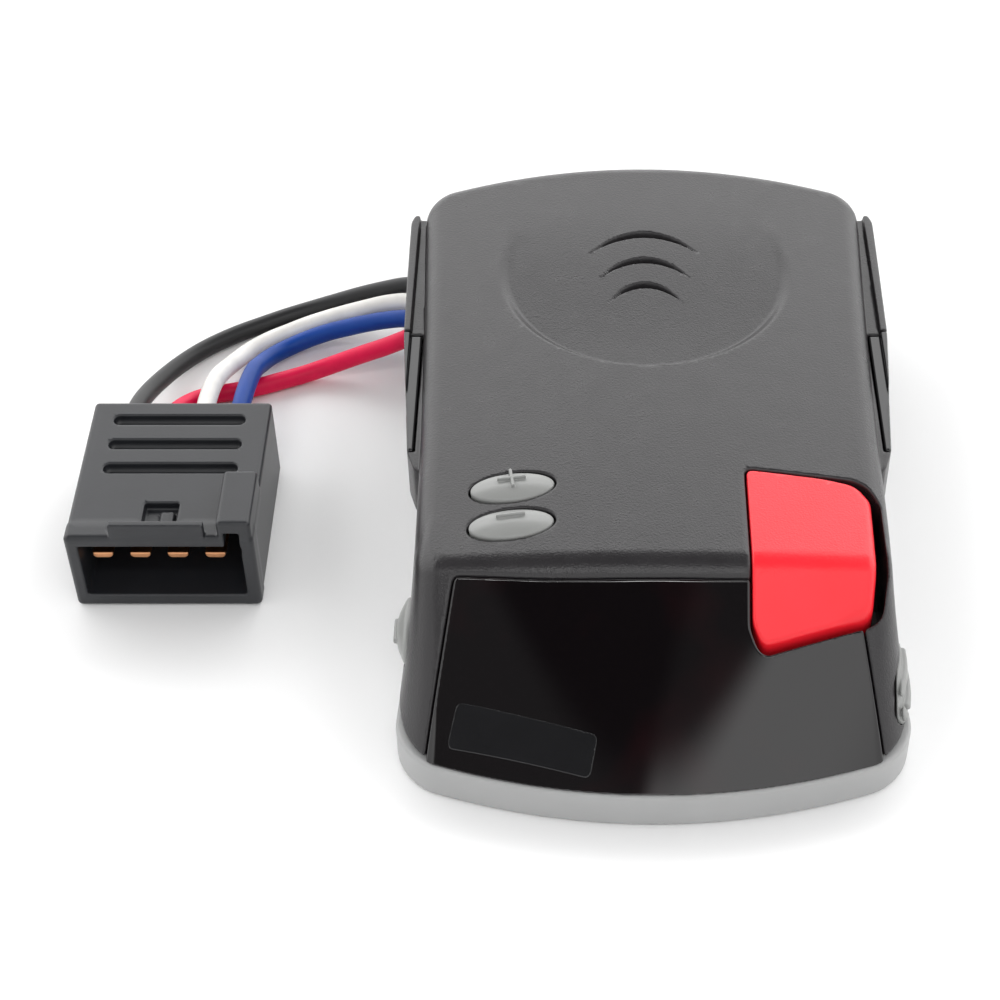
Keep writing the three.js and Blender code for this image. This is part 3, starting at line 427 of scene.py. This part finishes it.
def cover_form(x, y, z):
    lens_column = outline_distance(LENS, x, y)
    pocket_column = outline_distance(POCKET, x, y)
    skin = rmin(case(x, y, z, dish=True), rail(x, y, z), 0.35)
    outer = rmax(skin, SEAM + GAP - z, 1.2)
    dish_disc = np.sqrt(x**2 + (y - DISH["y"]) ** 2) - DISH["radius"] - DISH_PAD["margin"]
    dish_pad = np.maximum(dish_disc, TOP - DISH_PAD["thick"] - z)
    shell = np.maximum(outer, -np.maximum(case(x, y, z, inset=WALL), -dish_pad))
    wall = np.maximum(np.maximum(outer, pocket_column - POCKET_WALL), POCKET_LOW - z)
    shell = np.minimum(shell, np.maximum(wall, -lens_column))
    shell = cut(shell, lens_column, 0.5)
    shell = cut(shell, pocket_column, 0.55)
    for centre in BUTTONS.values():
        shell = cut(shell, np.maximum(button_hole(x, y, centre, GAP), BUTTON_HOLE_LOW - z), 0.45)
    for crescent in CRESCENTS:
        across = outline_distance(crescent, x, y)
        scoop = GROOVE["depth"] * ramp(-across, GROOVE["start"], GROOVE["full"])
        groove = (crown(x) - dish_depth(x, y) - scoop - z) * 0.5
        shell = np.maximum(shell, -np.maximum(groove, across - GROOVE["edge"]))
    shell = cut(shell, insert_room(x, y, z, GAP), 0.3)
    long, high = SIDE_BUTTON["half"]
    hole = oval(y - SIDE_BUTTON["y"], z - SIDE_BUTTON["z"], long + GAP, high + GAP)
    shell = cut(shell, np.maximum(hole, x - SIDE_BUTTON["inner"]), 0.4)
    shell = cut(shell, selector_slot(x, y, z, GAP), 0.4)
    return cut(shell, grommet_gap(x, y, z, GAP), 0.4)


def lens_form(x, y, z):
    skin = np.maximum(case(x, y, z), -case(x, y, z, inset=LENS_THICK))
    skin = rmax(skin, outline_distance(LENS, x, y) + LENS_GAP, 0.6)
    skin = cut(skin, outline_distance(POCKET, x, y), 0.6)
    return rmax(skin, SEAM + GAP - z, 0.25)


def label_form(x, y, z):
    film = np.maximum(case(x, y, z, inset=-FILM["above"]), -case(x, y, z, inset=FILM["below"]))
    return rmax(film, outline_distance(LABEL, x, y) * FILM["flatten"], 0.06)


PADDLE = {"deep": 6.2, "wall": 2.0, "roof": 2.4}
HINGE_LUG_ROOM = ((25.2, -26, 15), (29.8, -14, 29.8))    # for the cover's lug, which holds the pin


def lever_form(x, y, z):
    """The paddle: a shell under the case's outer form, its edges rounder towards the outside."""
    column = outline_distance(LEVER, x, y)
    body = rmax(case(x, y, z), column, 0.5 + 1.1 * ramp(x, 30, 38))
    depth = case(x, y, z + PADDLE["deep"])
    hollow = np.maximum(column + PADDLE["wall"], case(x, y, z + PADDLE["roof"]))
    shell = np.maximum(np.maximum(body, -depth), -hollow)
    return np.maximum(shell, -block(x, y, z, *HINGE_LUG_ROOM, 0.2))


SCREWS = ((-39.3, -26), (39.3, -32), (-40, 33), (40, 33))
BOSS = {"radius": 4.0, "low": 0.5, "high": 6.5, "hole": 1.9, "head": 3.2, "head_top": 2.6}
PANEL_HOLES = ((-20, 5), (20, 5))
PANEL_HOLE = 2.1
TRAY_FLOOR = 2.0


def tray_form(x, y, z):
    outer = rmax(case(x, y, np.minimum(z, SEAM)), np.abs(z - SEAM / 2) - SEAM / 2, 0.7)
    hollow = np.maximum(case(x, y, np.minimum(z, SEAM), inset=WALL), TRAY_FLOOR - z)
    shell = cut(outer, hollow, 0.2)
    for px, py in SCREWS:
        r = np.sqrt((x - px) ** 2 + (y - py) ** 2)
        boss = np.maximum(r - BOSS["radius"], np.maximum(z - BOSS["high"], BOSS["low"] - z))
        shell = rmin(shell, boss, 0.5)
        head = np.maximum(r - BOSS["head"], z - BOSS["head_top"])
        shell = cut(shell, np.minimum(r - BOSS["hole"], head), 0.25)
    for px, py in PANEL_HOLES:
        r = np.sqrt((x - px) ** 2 + (y - py) ** 2)
        shell = cut(shell, r - PANEL_HOLE, 0.3)
    return shell


# ---------- buttons, selector, inserts ----------


def dome(u, v, w, half, foot, high, low):
    """A domed oval cap along w: sides up to foot, crown high above it, underside at low."""
    k = (u / half[0]) ** 2 + (v / half[1]) ** 2
    roof = w - foot - high * (1 - k)
    roof = roof / np.sqrt(1 + (2 * high * np.minimum(np.sqrt(k), 1) / min(half)) ** 2 * 0.6)
    return rmax(rmax(oval(u, v, *half), roof, 0.35), low - w, 0.2)


def bar(u, v, w, long, wide, low, high):
    return block(u, v, w, (-long / 2, -wide / 2, low), (long / 2, wide / 2, high), 0.22)


def make_top_button(name, marks):
    """A button cap with raised bars on it, each given as its length and width."""
    centre = BUTTONS[name]
    seat = crown(centre[0]) - BUTTON_SEAT

    def form(x, y, z):
        u, v = tilted(x, y, centre)
        w = z - seat
        cap = dome(u, v, w, BUTTON_HALF, foot=1.95, high=0.95, low=-1.0)
        for long, wide in marks:
            cap = rmin(cap, bar(u, v - MARK_BACK, w, long, wide, low=1, high=3.5), 0.15)
        return cap

    low = (centre[0] - 9, centre[1] - 6, seat - 2.2)
    high = (centre[0] + 9, centre[1] + 6, seat + 4)
    return solid(f"{name}_cap", form, low, high, 0.2, 0.005)


def side_button_form(x, y, z):
    w = SIDE_BUTTON["x"] - x
    u, v = y - SIDE_BUTTON["y"], z - SIDE_BUTTON["z"]
    cap = dome(u, v, w, SIDE_BUTTON["half"], foot=2.2, high=1.9, low=-3.2)
    return rmin(cap, bar(u, v, w, long=5.2, wide=1.1, low=2, high=4.5), 0.25)


def selector_form(x, y, z):
    """A slab that follows the case's side, with two long ribs and a short upright one in front."""
    near = SELECTOR["y"] - SELECTOR["long"] / 2
    far = near + SELECTOR["long"]
    half = SELECTOR["high"] / 2
    mid = SELECTOR["z"]
    slab = block(x, y, z, (SELECTOR["inner"], near, mid - half), (BEYOND, far, mid + half), 0.5)
    slab = rmax(slab, case(x, y, z, inset=-SELECTOR["proud"]), 0.4)
    upright_end = (BEYOND, near + UPRIGHT["long"], mid + UPRIGHT["half"])
    ribs = block(x, y, z, (UPRIGHT["inner"], near, mid - UPRIGHT["half"]), upright_end, 0.5)
    for up in RIB["places"]:
        start = (RIB["inner"], near + RIB["front_gap"], mid + up)
        end = (BEYOND, far - RIB["rear_gap"], mid + up + RIB["height"])
        ribs = np.minimum(ribs, block(x, y, z, start, end, 0.5))
    return rmin(slab, rmax(ribs, case(x, y, z, inset=-RIB["proud"]), 0.45), 0.25)


def insert_form(side):
    """The glossy insert of the right rail (side 1) or of the left rail (side -1)."""

    def form(x, y, z):
        body = rmax(rail(x, y, z), insert_room(x, y, z, 0), 0.5)
        start = (INSERT_SLOT["inner"], INSERT_SLOT["front"], INSERT_SLOT["low"])
        slot = block(np.abs(x), y, z, start, (BEYOND, INSERT_SLOT["rear"], INSERT_SLOT["high"]), 0.5)
        return np.maximum(cut(body, slot, 0.4), -side * x)
    return form


# ---------- plug ----------

PLUG = {"left": -109.0, "right": -74.0, "front": -21.4, "rear": 16.4, "top": 18.2, "x": -92.9, "z": 9.2,
        "pitch": 7.13}
IN_FRONT = PLUG["front"] - 5.0     # for cuts that open to the front
ABOVE = PLUG["top"] + 5.0          # for cuts that open to the top
MOUTH_FLARE = {"size": 0.2, "start": 5.0, "full": 3.5}
SOCKET = {"left": 2.3, "right": 2.4, "rear": -4.0, "low": 3.0, "high": 16.0}
KEY = {"left": -80.4, "rear": -7.0, "top": 22.1, "low": 14.0, "side_wall": 1.2, "end_wall": 1.5,
       "roof": 2.8}
LIP = {"left": -100.5, "right": -82.8, "long": 1.6, "top": 21.5}
GRIP_SLOT = {"x": -91.6, "half_long": 12.85, "half_wide": 1.3, "deep": 1.9, "places": (11.1, 4.2, -2.5)}
LATCH_WINDOW = ((-95.1, -18.1, 16.5), (-88.6, -11.9, ABOVE))
LATCH_PEG = ((-92.1, -17.4, 14.0), (-89.3, -13.4, PLUG["top"] - 0.6))
CHAMBER = {"half": (2.4, 1.9), "front": -6.0, "rear": 12.5}
ENTRY = {"radius": 2.1, "front": 10.0}
LOCK_SLOT = {"left": 3.2, "right": 4.0, "front": 6.0, "rear": 9.0, "roof": 1.0}
CONTACTS = [PLUG["x"] + (i - 1.5) * PLUG["pitch"] for i in range(4)]


def plug_form(x, y, z):
    left, right, front, rear, top = [PLUG[k] for k in ("left", "right", "front", "rear", "top")]
    mid = PLUG["z"]
    flare = MOUTH_FLARE["size"] * ramp(-y, -front - MOUTH_FLARE["start"], -front - MOUTH_FLARE["full"])
    body = block(x, y, z, (left, front, 0), (right, rear, top), 0.9) - flare
    body = rmax(body, -z, 0.5)
    key = block(x, y, z, (KEY["left"], front, top - 3), (right, KEY["rear"], KEY["top"]), 0.8)
    body = rmin(body, key, 0.3)
    lip_end = (LIP["right"], front + LIP["long"], LIP["top"])
    body = rmin(body, block(x, y, z, (LIP["left"], front, top - 2), lip_end, 0.4), 0.3)
    socket_end = (right - SOCKET["right"], SOCKET["rear"], SOCKET["high"])
    socket = block(x, y, z, (left + SOCKET["left"], IN_FRONT, SOCKET["low"]), socket_end, 0.5)
    body = cut(body, socket, 0.5)
    keyway_end = (right - SOCKET["right"], KEY["rear"] - KEY["end_wall"], KEY["top"] - KEY["roof"])
    keyway = block(x, y, z, (KEY["left"] + KEY["side_wall"], IN_FRONT, KEY["low"]), keyway_end, 0.4)
    body = cut(body, keyway, 0.5)
    for place in GRIP_SLOT["places"]:
        across = (GRIP_SLOT["x"] - GRIP_SLOT["half_long"], place - GRIP_SLOT["half_wide"])
        far = (GRIP_SLOT["x"] + GRIP_SLOT["half_long"], place + GRIP_SLOT["half_wide"])
        trough = block(x, y, z, (*across, top - GRIP_SLOT["deep"]), (*far, ABOVE), 1.2)
        body = cut(body, trough, 0.35)
    body = cut(body, block(x, y, z, *LATCH_WINDOW, 0.5), 0.35)
    body = np.minimum(body, block(x, y, z, *LATCH_PEG, 0.7))
    wide, high = CHAMBER["half"]
    for at in CONTACTS:
        chamber_end = (at + wide, CHAMBER["rear"], mid + high)
        chamber = block(x, y, z, (at - wide, CHAMBER["front"], mid - high), chamber_end, 0.3)
        body = cut(body, chamber, 0.2)
        entry = np.sqrt((x - at) ** 2 + (z - mid) ** 2) - ENTRY["radius"]
        body = cut(body, np.maximum(entry, ENTRY["front"] - y), 0.4)
    lock_start = (left + LOCK_SLOT["left"], LOCK_SLOT["front"], -3)
    lock_end = (right - LOCK_SLOT["right"], LOCK_SLOT["rear"], mid - LOCK_SLOT["roof"])
    return cut(body, block(x, y, z, lock_start, lock_end, 0.3), 0.25)


BLADE = {"half": 2.0, "tip": -17.2, "low": 0.6, "high": 0.9}


def terminal_form(at):
    """A contact at x = at: a blade with a bevelled underside and tip, a cage and a crimp barrel."""

    def form(x, y, z):
        mid = PLUG["z"]
        u = x - at
        blade_end = (BLADE["half"], 0, mid + BLADE["high"])
        blade = block(u, y, z, (-BLADE["half"], BLADE["tip"], mid - BLADE["low"]), blade_end, 0.3)
        keel = (np.abs(u) + (mid - BLADE["low"] - z) - 1.3) / 1.4
        blade = rmax(blade, keel, 0.2)
        blade = rmax(blade, (mid - 0.9 - z - (y - BLADE["tip"]) * 0.9) / 1.35, 0.2)
        cage = block(u, y, z, (-2.1, -3, mid - 1.6), (2.1, 6, mid + 1.6), 0.35)
        barrel = rmax(np.sqrt(u**2 + (z - mid) ** 2) - 1.5, np.abs(y - 10.4) - 5.4, 0.3)
        return np.minimum(np.minimum(blade, cage), barrel)
    return form


GROMMET_OUT = -46.4
FLANGE = {"outer": -41.6, "inner": -40.0, "side": 0.6, "top": 0.7}
SLEEVE = {"x": -47.4, "half_long": 2.2, "radius": 2.75, "taper": 0.12}
SLEEVE_GRIP = 0.08       # how much smaller a sleeve's bore is than its wire, in radius
BORE_INNER = -44.5


def grommet_form(x, y, z):
    """A plate through the case's wall, an inner flange, and a tapered sleeve round each wire."""
    half = GROMMET["long"] / 2
    low, top, mid = GROMMET["low"], GROMMET["top"], GROMMET["y"]
    body = block(x, y, z, (GROMMET_OUT, mid - half, low), (-40.4, mid + half, top), 0.5)
    flange_end = (FLANGE["inner"], mid + half + FLANGE["side"], top + FLANGE["top"])
    flange = block(x, y, z, (FLANGE["outer"], mid - half - FLANGE["side"], low), flange_end, 0.3)
    body = rmin(body, flange, 0.2)
    around = [np.sqrt((y - wire_y) ** 2 + (z - wire_z) ** 2)
              for _, wire_y, wire_z in [route[0] for route in WIRE_ROUTES.values()]]
    for r in around:
        cone = (r - SLEEVE["radius"] + (-46 - x) * SLEEVE["taper"]) * 0.99
        body = rmin(body, rmax(cone, np.abs(x - SLEEVE["x"]) - SLEEVE["half_long"], 0.3), 0.4)
    for r in around:
        body = np.maximum(body, -np.maximum(r - WIRE / 2 + SLEEVE_GRIP, x - BORE_INNER))
    return body


# ---------- build the pieces ----------
# Each solid is sought between two corners of a box, on a grid of the given step.

cover = solid("cover_shell", cover_form, (-50, -75, 7.6), (50, 76.4, 34), 0.36, 0.008)
lens = solid("lens_window", lens_form, (-44, -75, 7.8), (44, -41, 34), 0.24, 0.0)
label = solid("front_label", label_form, (-37.5, -72.5, 7.8), (-8.5, -57, 18.5), 0.13, 0.004)
lever = solid("lever_paddle", lever_form, (16, -54, 14), (41, -16, 34.5), 0.3, 0.006)
tray = solid("tray_shell", tray_form, (-48, -75, -0.6), (48, 76.4, 8.6), 0.45, 0.01)
plus = make_top_button("plus", [(5.2, 0.55), (0.6, 4.4)])
minus = make_top_button("minus", [(5.2, 0.55)])
side_button = solid("side_cap", side_button_form, (-48, -49, 9), (-38, -32, 19), 0.2, 0.005)
selector = solid("selector_thumb", selector_form, (38, -60, 8), (49, -43, 17), 0.2, 0.005)
left_insert = solid("rail_insert_left", insert_form(-1), (-50, -8, 14), (-43, 29, 29), 0.25, 0.005)
right_insert = solid("rail_insert_right", insert_form(1), (43, -8, 14), (50, 29, 29), 0.25, 0.005)
plug = solid("plug_shell", plug_form, (-110.4, -22.4, -0.6), (-72.6, 17.6, 22.8), 0.3, 0.008)
terminals = [solid(f"contact_{i + 1}", terminal_form(at), (at - 2.8, -18, 6.8), (at + 2.8, 16.4, 11.6),
                   0.2, 0.008) for i, at in enumerate(CONTACTS)]
grommet = solid("grommet_body", grommet_form, (-51, 37, 7.4), (-39, 65, 15.6), 0.25, 0.008)

# ---------- materials ----------


def new_material(name, colour, roughness, **settings):
    """A material of one colour; settings are the shader's other sockets, with _ for a space."""
    material = bpy.data.materials.new(name)
    material.use_nodes = True
    shader = material.node_tree.nodes["Principled BSDF"]
    shader.inputs["Base Color"].default_value = (*colour, 1)
    shader.inputs["Roughness"].default_value = roughness
    for key, value in settings.items():
        shader.inputs[key.replace("_", " ")].default_value = value
    return material


def add_node(material, kind, **settings):
    node = material.node_tree.nodes.new(kind)
    for key, value in settings.items():
        node.inputs[key].default_value = value
    return node


def link(material, a, b):
    material.node_tree.links.new(a, b)


def grain(material, size, height, detail=2.0, where=None):
    """Moulded texture: fine bumps of a size and height in metres. where is a mask from 0 to 1."""
    place = add_node(material, "ShaderNodeTexCoord")
    noise = add_node(material, "ShaderNodeTexNoise", Scale=1 / size, Detail=detail, Roughness=0.6)
    bump = add_node(material, "ShaderNodeBump", Distance=height, Strength=1.0)
    link(material, place.outputs["Object"], noise.inputs["Vector"])
    link(material, noise.outputs["Fac"], bump.inputs["Height"])
    if where is not None:
        link(material, where, bump.inputs["Strength"])
    shader = material.node_tree.nodes["Principled BSDF"]
    link(material, bump.outputs["Normal"], shader.inputs["Normal"])


def vary(material, colour, other, size, contrast=(0.35, 0.65)):
    """The base colour drifts between two tones over patches of a size in metres."""
    place = add_node(material, "ShaderNodeTexCoord")
    noise = add_node(material, "ShaderNodeTexNoise", Scale=1 / size, Detail=3.0)
    tones = add_node(material, "ShaderNodeValToRGB")
    tones.color_ramp.elements[0].position = contrast[0]
    tones.color_ramp.elements[1].position = contrast[1]
    tones.color_ramp.elements[0].color = (*colour, 1)
    tones.color_ramp.elements[1].color = (*other, 1)
    link(material, place.outputs["Object"], noise.inputs["Vector"])
    link(material, noise.outputs["Fac"], tones.inputs["Fac"])
    shader = material.node_tree.nodes["Principled BSDF"]
    link(material, tones.outputs["Color"], shader.inputs["Base Color"])


def roughness_drift(material, low, high, size):
    """The roughness drifts between low and high over patches of a size in metres."""
    place = add_node(material, "ShaderNodeTexCoord")
    noise = add_node(material, "ShaderNodeTexNoise", Scale=1 / size, Detail=4.0)
    spread = add_node(material, "ShaderNodeMapRange")
    spread.inputs["From Min"].default_value = 0.3
    spread.inputs["From Max"].default_value = 0.7
    spread.inputs["To Min"].default_value = low
    spread.inputs["To Max"].default_value = high
    link(material, place.outputs["Object"], noise.inputs["Vector"])
    link(material, noise.outputs["Fac"], spread.inputs["Value"])
    shader = material.node_tree.nodes["Principled BSDF"]
    link(material, spread.outputs["Result"], shader.inputs["Roughness"])


def charcoal_material():
    material = new_material("charcoal", (0.017, 0.0155, 0.017), 0.32)
    vary(material, (0.0165, 0.015, 0.0165), (0.0175, 0.016, 0.0175), 0.012)
    grain(material, 0.0004, 0.00007, 2.0)
    roughness_drift(material, 0.27, 0.33, 0.004)
    return material


def light_grey_material():
    material = new_material("light_grey", (0.34, 0.342, 0.342), 0.38)
    vary(material, (0.335, 0.337, 0.337), (0.348, 0.35, 0.35), 0.01)
    grain(material, 0.0006, 0.00001, 2.0)
    return material


def button_material():
    material = new_material("button_grey", (0.25, 0.254, 0.247), 0.28)
    vary(material, (0.245, 0.249, 0.242), (0.256, 0.26, 0.253), 0.006)
    grain(material, 0.0005, 0.000006, 2.0)
    return material


def lens_material():
    material = new_material("smoked", (0.004, 0.0032, 0.0036), 0.04, Coat_Weight=0.3, Coat_Roughness=0.02)
    vary(material, (0.004, 0.003, 0.0035), (0.009, 0.003, 0.0038), 0.02, (0.55, 0.75))
    roughness_drift(material, 0.03, 0.06, 0.02)
    return material


FRONT_EDGE = (-0.0436, -0.0424)    # y in metres, from the lever's smooth front to its textured top


def red_material():
    """Textured on top, smooth on the front face."""
    material = new_material("lever_red", (0.86, 0.012, 0.024), 0.34)
    vary(material, (0.85, 0.011, 0.022), (0.88, 0.013, 0.026), 0.01)
    place = add_node(material, "ShaderNodeTexCoord")
    split = add_node(material, "ShaderNodeSeparateXYZ")
    mask = add_node(material, "ShaderNodeMapRange")
    mask.inputs["From Min"].default_value, mask.inputs["From Max"].default_value = FRONT_EDGE
    mask.inputs["To Min"].default_value = 0.05
    link(material, place.outputs["Object"], split.inputs["Vector"])
    link(material, split.outputs["Y"], mask.inputs["Value"])
    grain(material, 0.0004, 0.00006, 3.0, mask.outputs["Result"])
    return material


def plain_material(name, colour, roughness, size=0.0006, height=0.00001, **settings):
    """A colour that drifts a little, over grain of a size and height in metres."""
    material = new_material(name, colour, roughness, **settings)
    darker = tuple(c * 0.92 for c in colour)
    lighter = tuple(min(c * 1.08, 1) for c in colour)
    vary(material, darker, lighter, 0.006)
    grain(material, size, height)
    return material


looks = {
    "charcoal_plastic": charcoal_material(),
    "light_grey_plastic": light_grey_material(),
    "button_grey": button_material(),
    "smoked_lens": lens_material(),
    "red_plastic": red_material(),
    "gloss_black_plastic": plain_material("gloss_black", (0.008, 0.008, 0.009), 0.12, 0.002, 0.000003),
    "black_plastic": plain_material("black_plastic", (0.02, 0.02, 0.021), 0.5),
    "plug_plastic": plain_material("plug_plastic", (0.014, 0.015, 0.018), 0.4, 0.0005, 0.000015),
    "black_rubber": plain_material("black_rubber", (0.014, 0.014, 0.014), 0.75, 0.0004, 0.00002),
    "circuit_board": plain_material("circuit_board", (0.012, 0.1, 0.03), 0.4, 0.001, 0.00002),
    "display_face": plain_material("display_face", (0.03, 0.006, 0.006), 0.25),
    "steel": plain_material("steel", (0.45, 0.46, 0.47), 0.3, 0.0003, 0.00001, Metallic=1.0),
    "aluminium": plain_material("aluminium", (0.6, 0.61, 0.62), 0.38, 0.0004, 0.00001, Metallic=1.0),
    "copper": plain_material("copper", (0.62, 0.3, 0.15), 0.3, 0.0004, 0.000008, Metallic=1.0),
    "ferrite": plain_material("ferrite", (0.35, 0.14, 0.05), 0.4, 0.0008, 0.0001, Metallic=0.6),
    "wire_black": plain_material("wire_black", (0.014, 0.014, 0.015), 0.42, 0.0012, Specular_IOR_Level=0.35),
    "wire_red": plain_material("wire_red", (0.72, 0.002, 0.06), 0.45, 0.0012, Specular_IOR_Level=0.25),
    "wire_white": plain_material("wire_white", (0.75, 0.73, 0.7), 0.4, 0.0012),
    "wire_blue": plain_material("wire_blue", (0.001, 0.045, 0.27), 0.45, 0.0012, Specular_IOR_Level=0.25),
}


def dress(piece, slot_name, body, *nodes):
    piece.data.materials.append(looks[slot_name])
    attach(piece, body)
    if nodes:
        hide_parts(*nodes)


slots = {part["node"]: part["material_slot"] for part in frame["record"]["subparts"]}
for node, thing in frame["nodes"].items():
    thing.data.materials.clear()
    thing.data.materials.append(looks[slots[node]])

dress(cover, "charcoal_plastic", "case", "top_cover")
dress(lens, "smoked_lens", "case", "display_lens")
dress(lever, "red_plastic", "lever", "override_lever")
dress(label, "gloss_black_plastic", "case")
dress(tray, "light_grey_plastic", "case", "base_tray")
dress(plus, "button_grey", "plus_key", "plus_button")
dress(minus, "button_grey", "minus_key", "minus_button")
dress(side_button, "button_grey", "side_key", "side_button")
dress(selector, "button_grey", "selector", "side_selector")
dress(left_insert, "gloss_black_plastic", "case", "left_rail_insert")
dress(right_insert, "gloss_black_plastic", "case", "right_rail_insert")
dress(plug, "plug_plastic", "case", "plug_housing")
dress(grommet, "black_rubber", "case", "wire_grommet")
for i, terminal in enumerate(terminals):
    dress(terminal, "copper", "case", f"plug_terminal_{i + 1}")

for colour, lead in leads.items():
    dress(lead, f"wire_{colour}", "case", f"wire_{colour}")

# ---------- floor and light ----------


def make_stage():
    mesh = bpy.data.meshes.new("floor")
    reach, drop = 4.0, -0.0002
    corners = [(-reach, -reach, drop), (reach, -reach, drop), (reach, reach, drop), (-reach, reach, drop)]
    mesh.from_pydata(corners, [], [(0, 1, 2, 3)])
    floor = bpy.data.objects.new("floor", mesh)
    bpy.context.scene.collection.objects.link(floor)
    floor.data.materials.append(new_material("floor_white", (0.92, 0.92, 0.92), 0.7))


def soft_box(name, place, aim, size, power):
    data = bpy.data.lights.new(name, "AREA")
    data.shape = "RECTANGLE"
    data.size, data.size_y = size
    data.energy = power
    lamp = bpy.data.objects.new(name, data)
    bpy.context.scene.collection.objects.link(lamp)
    lamp.location = place
    lamp.rotation_euler = (Vector(aim) - lamp.location).to_track_quat("-Z", "Y").to_euler()


def make_world():
    """A light tent: bright walls, brightest behind the object, and dark overhead in the middle.

    A band goes smoothly from one brightness to another as the direction of view, measured
    along its own direction, goes from start to end.
    """
    world = bpy.data.worlds.new("studio")
    world.use_nodes = True
    nodes, links = world.node_tree.nodes, world.node_tree.links
    place = nodes.new("ShaderNodeTexCoord")

    def band(direction, start, end, before, after):
        along = nodes.new("ShaderNodeVectorMath")
        along.operation = "DOT_PRODUCT"
        along.inputs[1].default_value = direction
        links.new(place.outputs["Generated"], along.inputs[0])
        step = nodes.new("ShaderNodeMapRange")
        step.interpolation_type = "SMOOTHSTEP"
        for key, value in (("From Min", start), ("From Max", end), ("To Min", before), ("To Max", after)):
            step.inputs[key].default_value = value
        links.new(along.outputs["Value"], step.inputs["Value"])
        return step.outputs["Result"]

    def combine(operation, one, other):
        node = nodes.new("ShaderNodeMath")
        node.operation = operation
        links.new(one, node.inputs[0])
        links.new(other, node.inputs[1])
        return node.outputs["Value"]

    back_wall = band((0, 1, 0), -0.2, 0.5, 1.6, 3.3)
    walls = combine("MULTIPLY", back_wall, band((0, 0, 1), 0.5, 0.7, 0.72, 1.0))
    ceiling = band((0, 0, 1), 0.785, 0.81, 1.0, 0.05)
    front_left = band((-0.6, -0.1, 1), 0.83, 0.86, 1.0, 0.08)
    behind = band((0, 1, 0), -0.3, 0.0, 0.0, 1.0)
    left, right = band((1, 0, 0), -0.56, -0.46, 1.0, 0.0), band((1, 0, 0), 0.46, 0.56, 0.0, 1.0)
    sides = combine("MAXIMUM", left, right)
    middle = combine("MULTIPLY", ceiling, combine("MAXIMUM", front_left, behind))
    strength = combine("MULTIPLY", walls, combine("MAXIMUM", middle, sides))
    links.new(strength, nodes["Background"].inputs["Strength"])
    nodes["Background"].inputs["Color"].default_value = (1, 1, 1, 1)
    bpy.context.scene.world = world


def make_light():
    make_world()
    soft_box("key", (0, -0.42, 0.82), (0, -0.04, 0.02), (0.6, 0.07), 1.3)


make_stage()
make_light()
bpy.context.scene.view_settings.view_transform = "Standard"
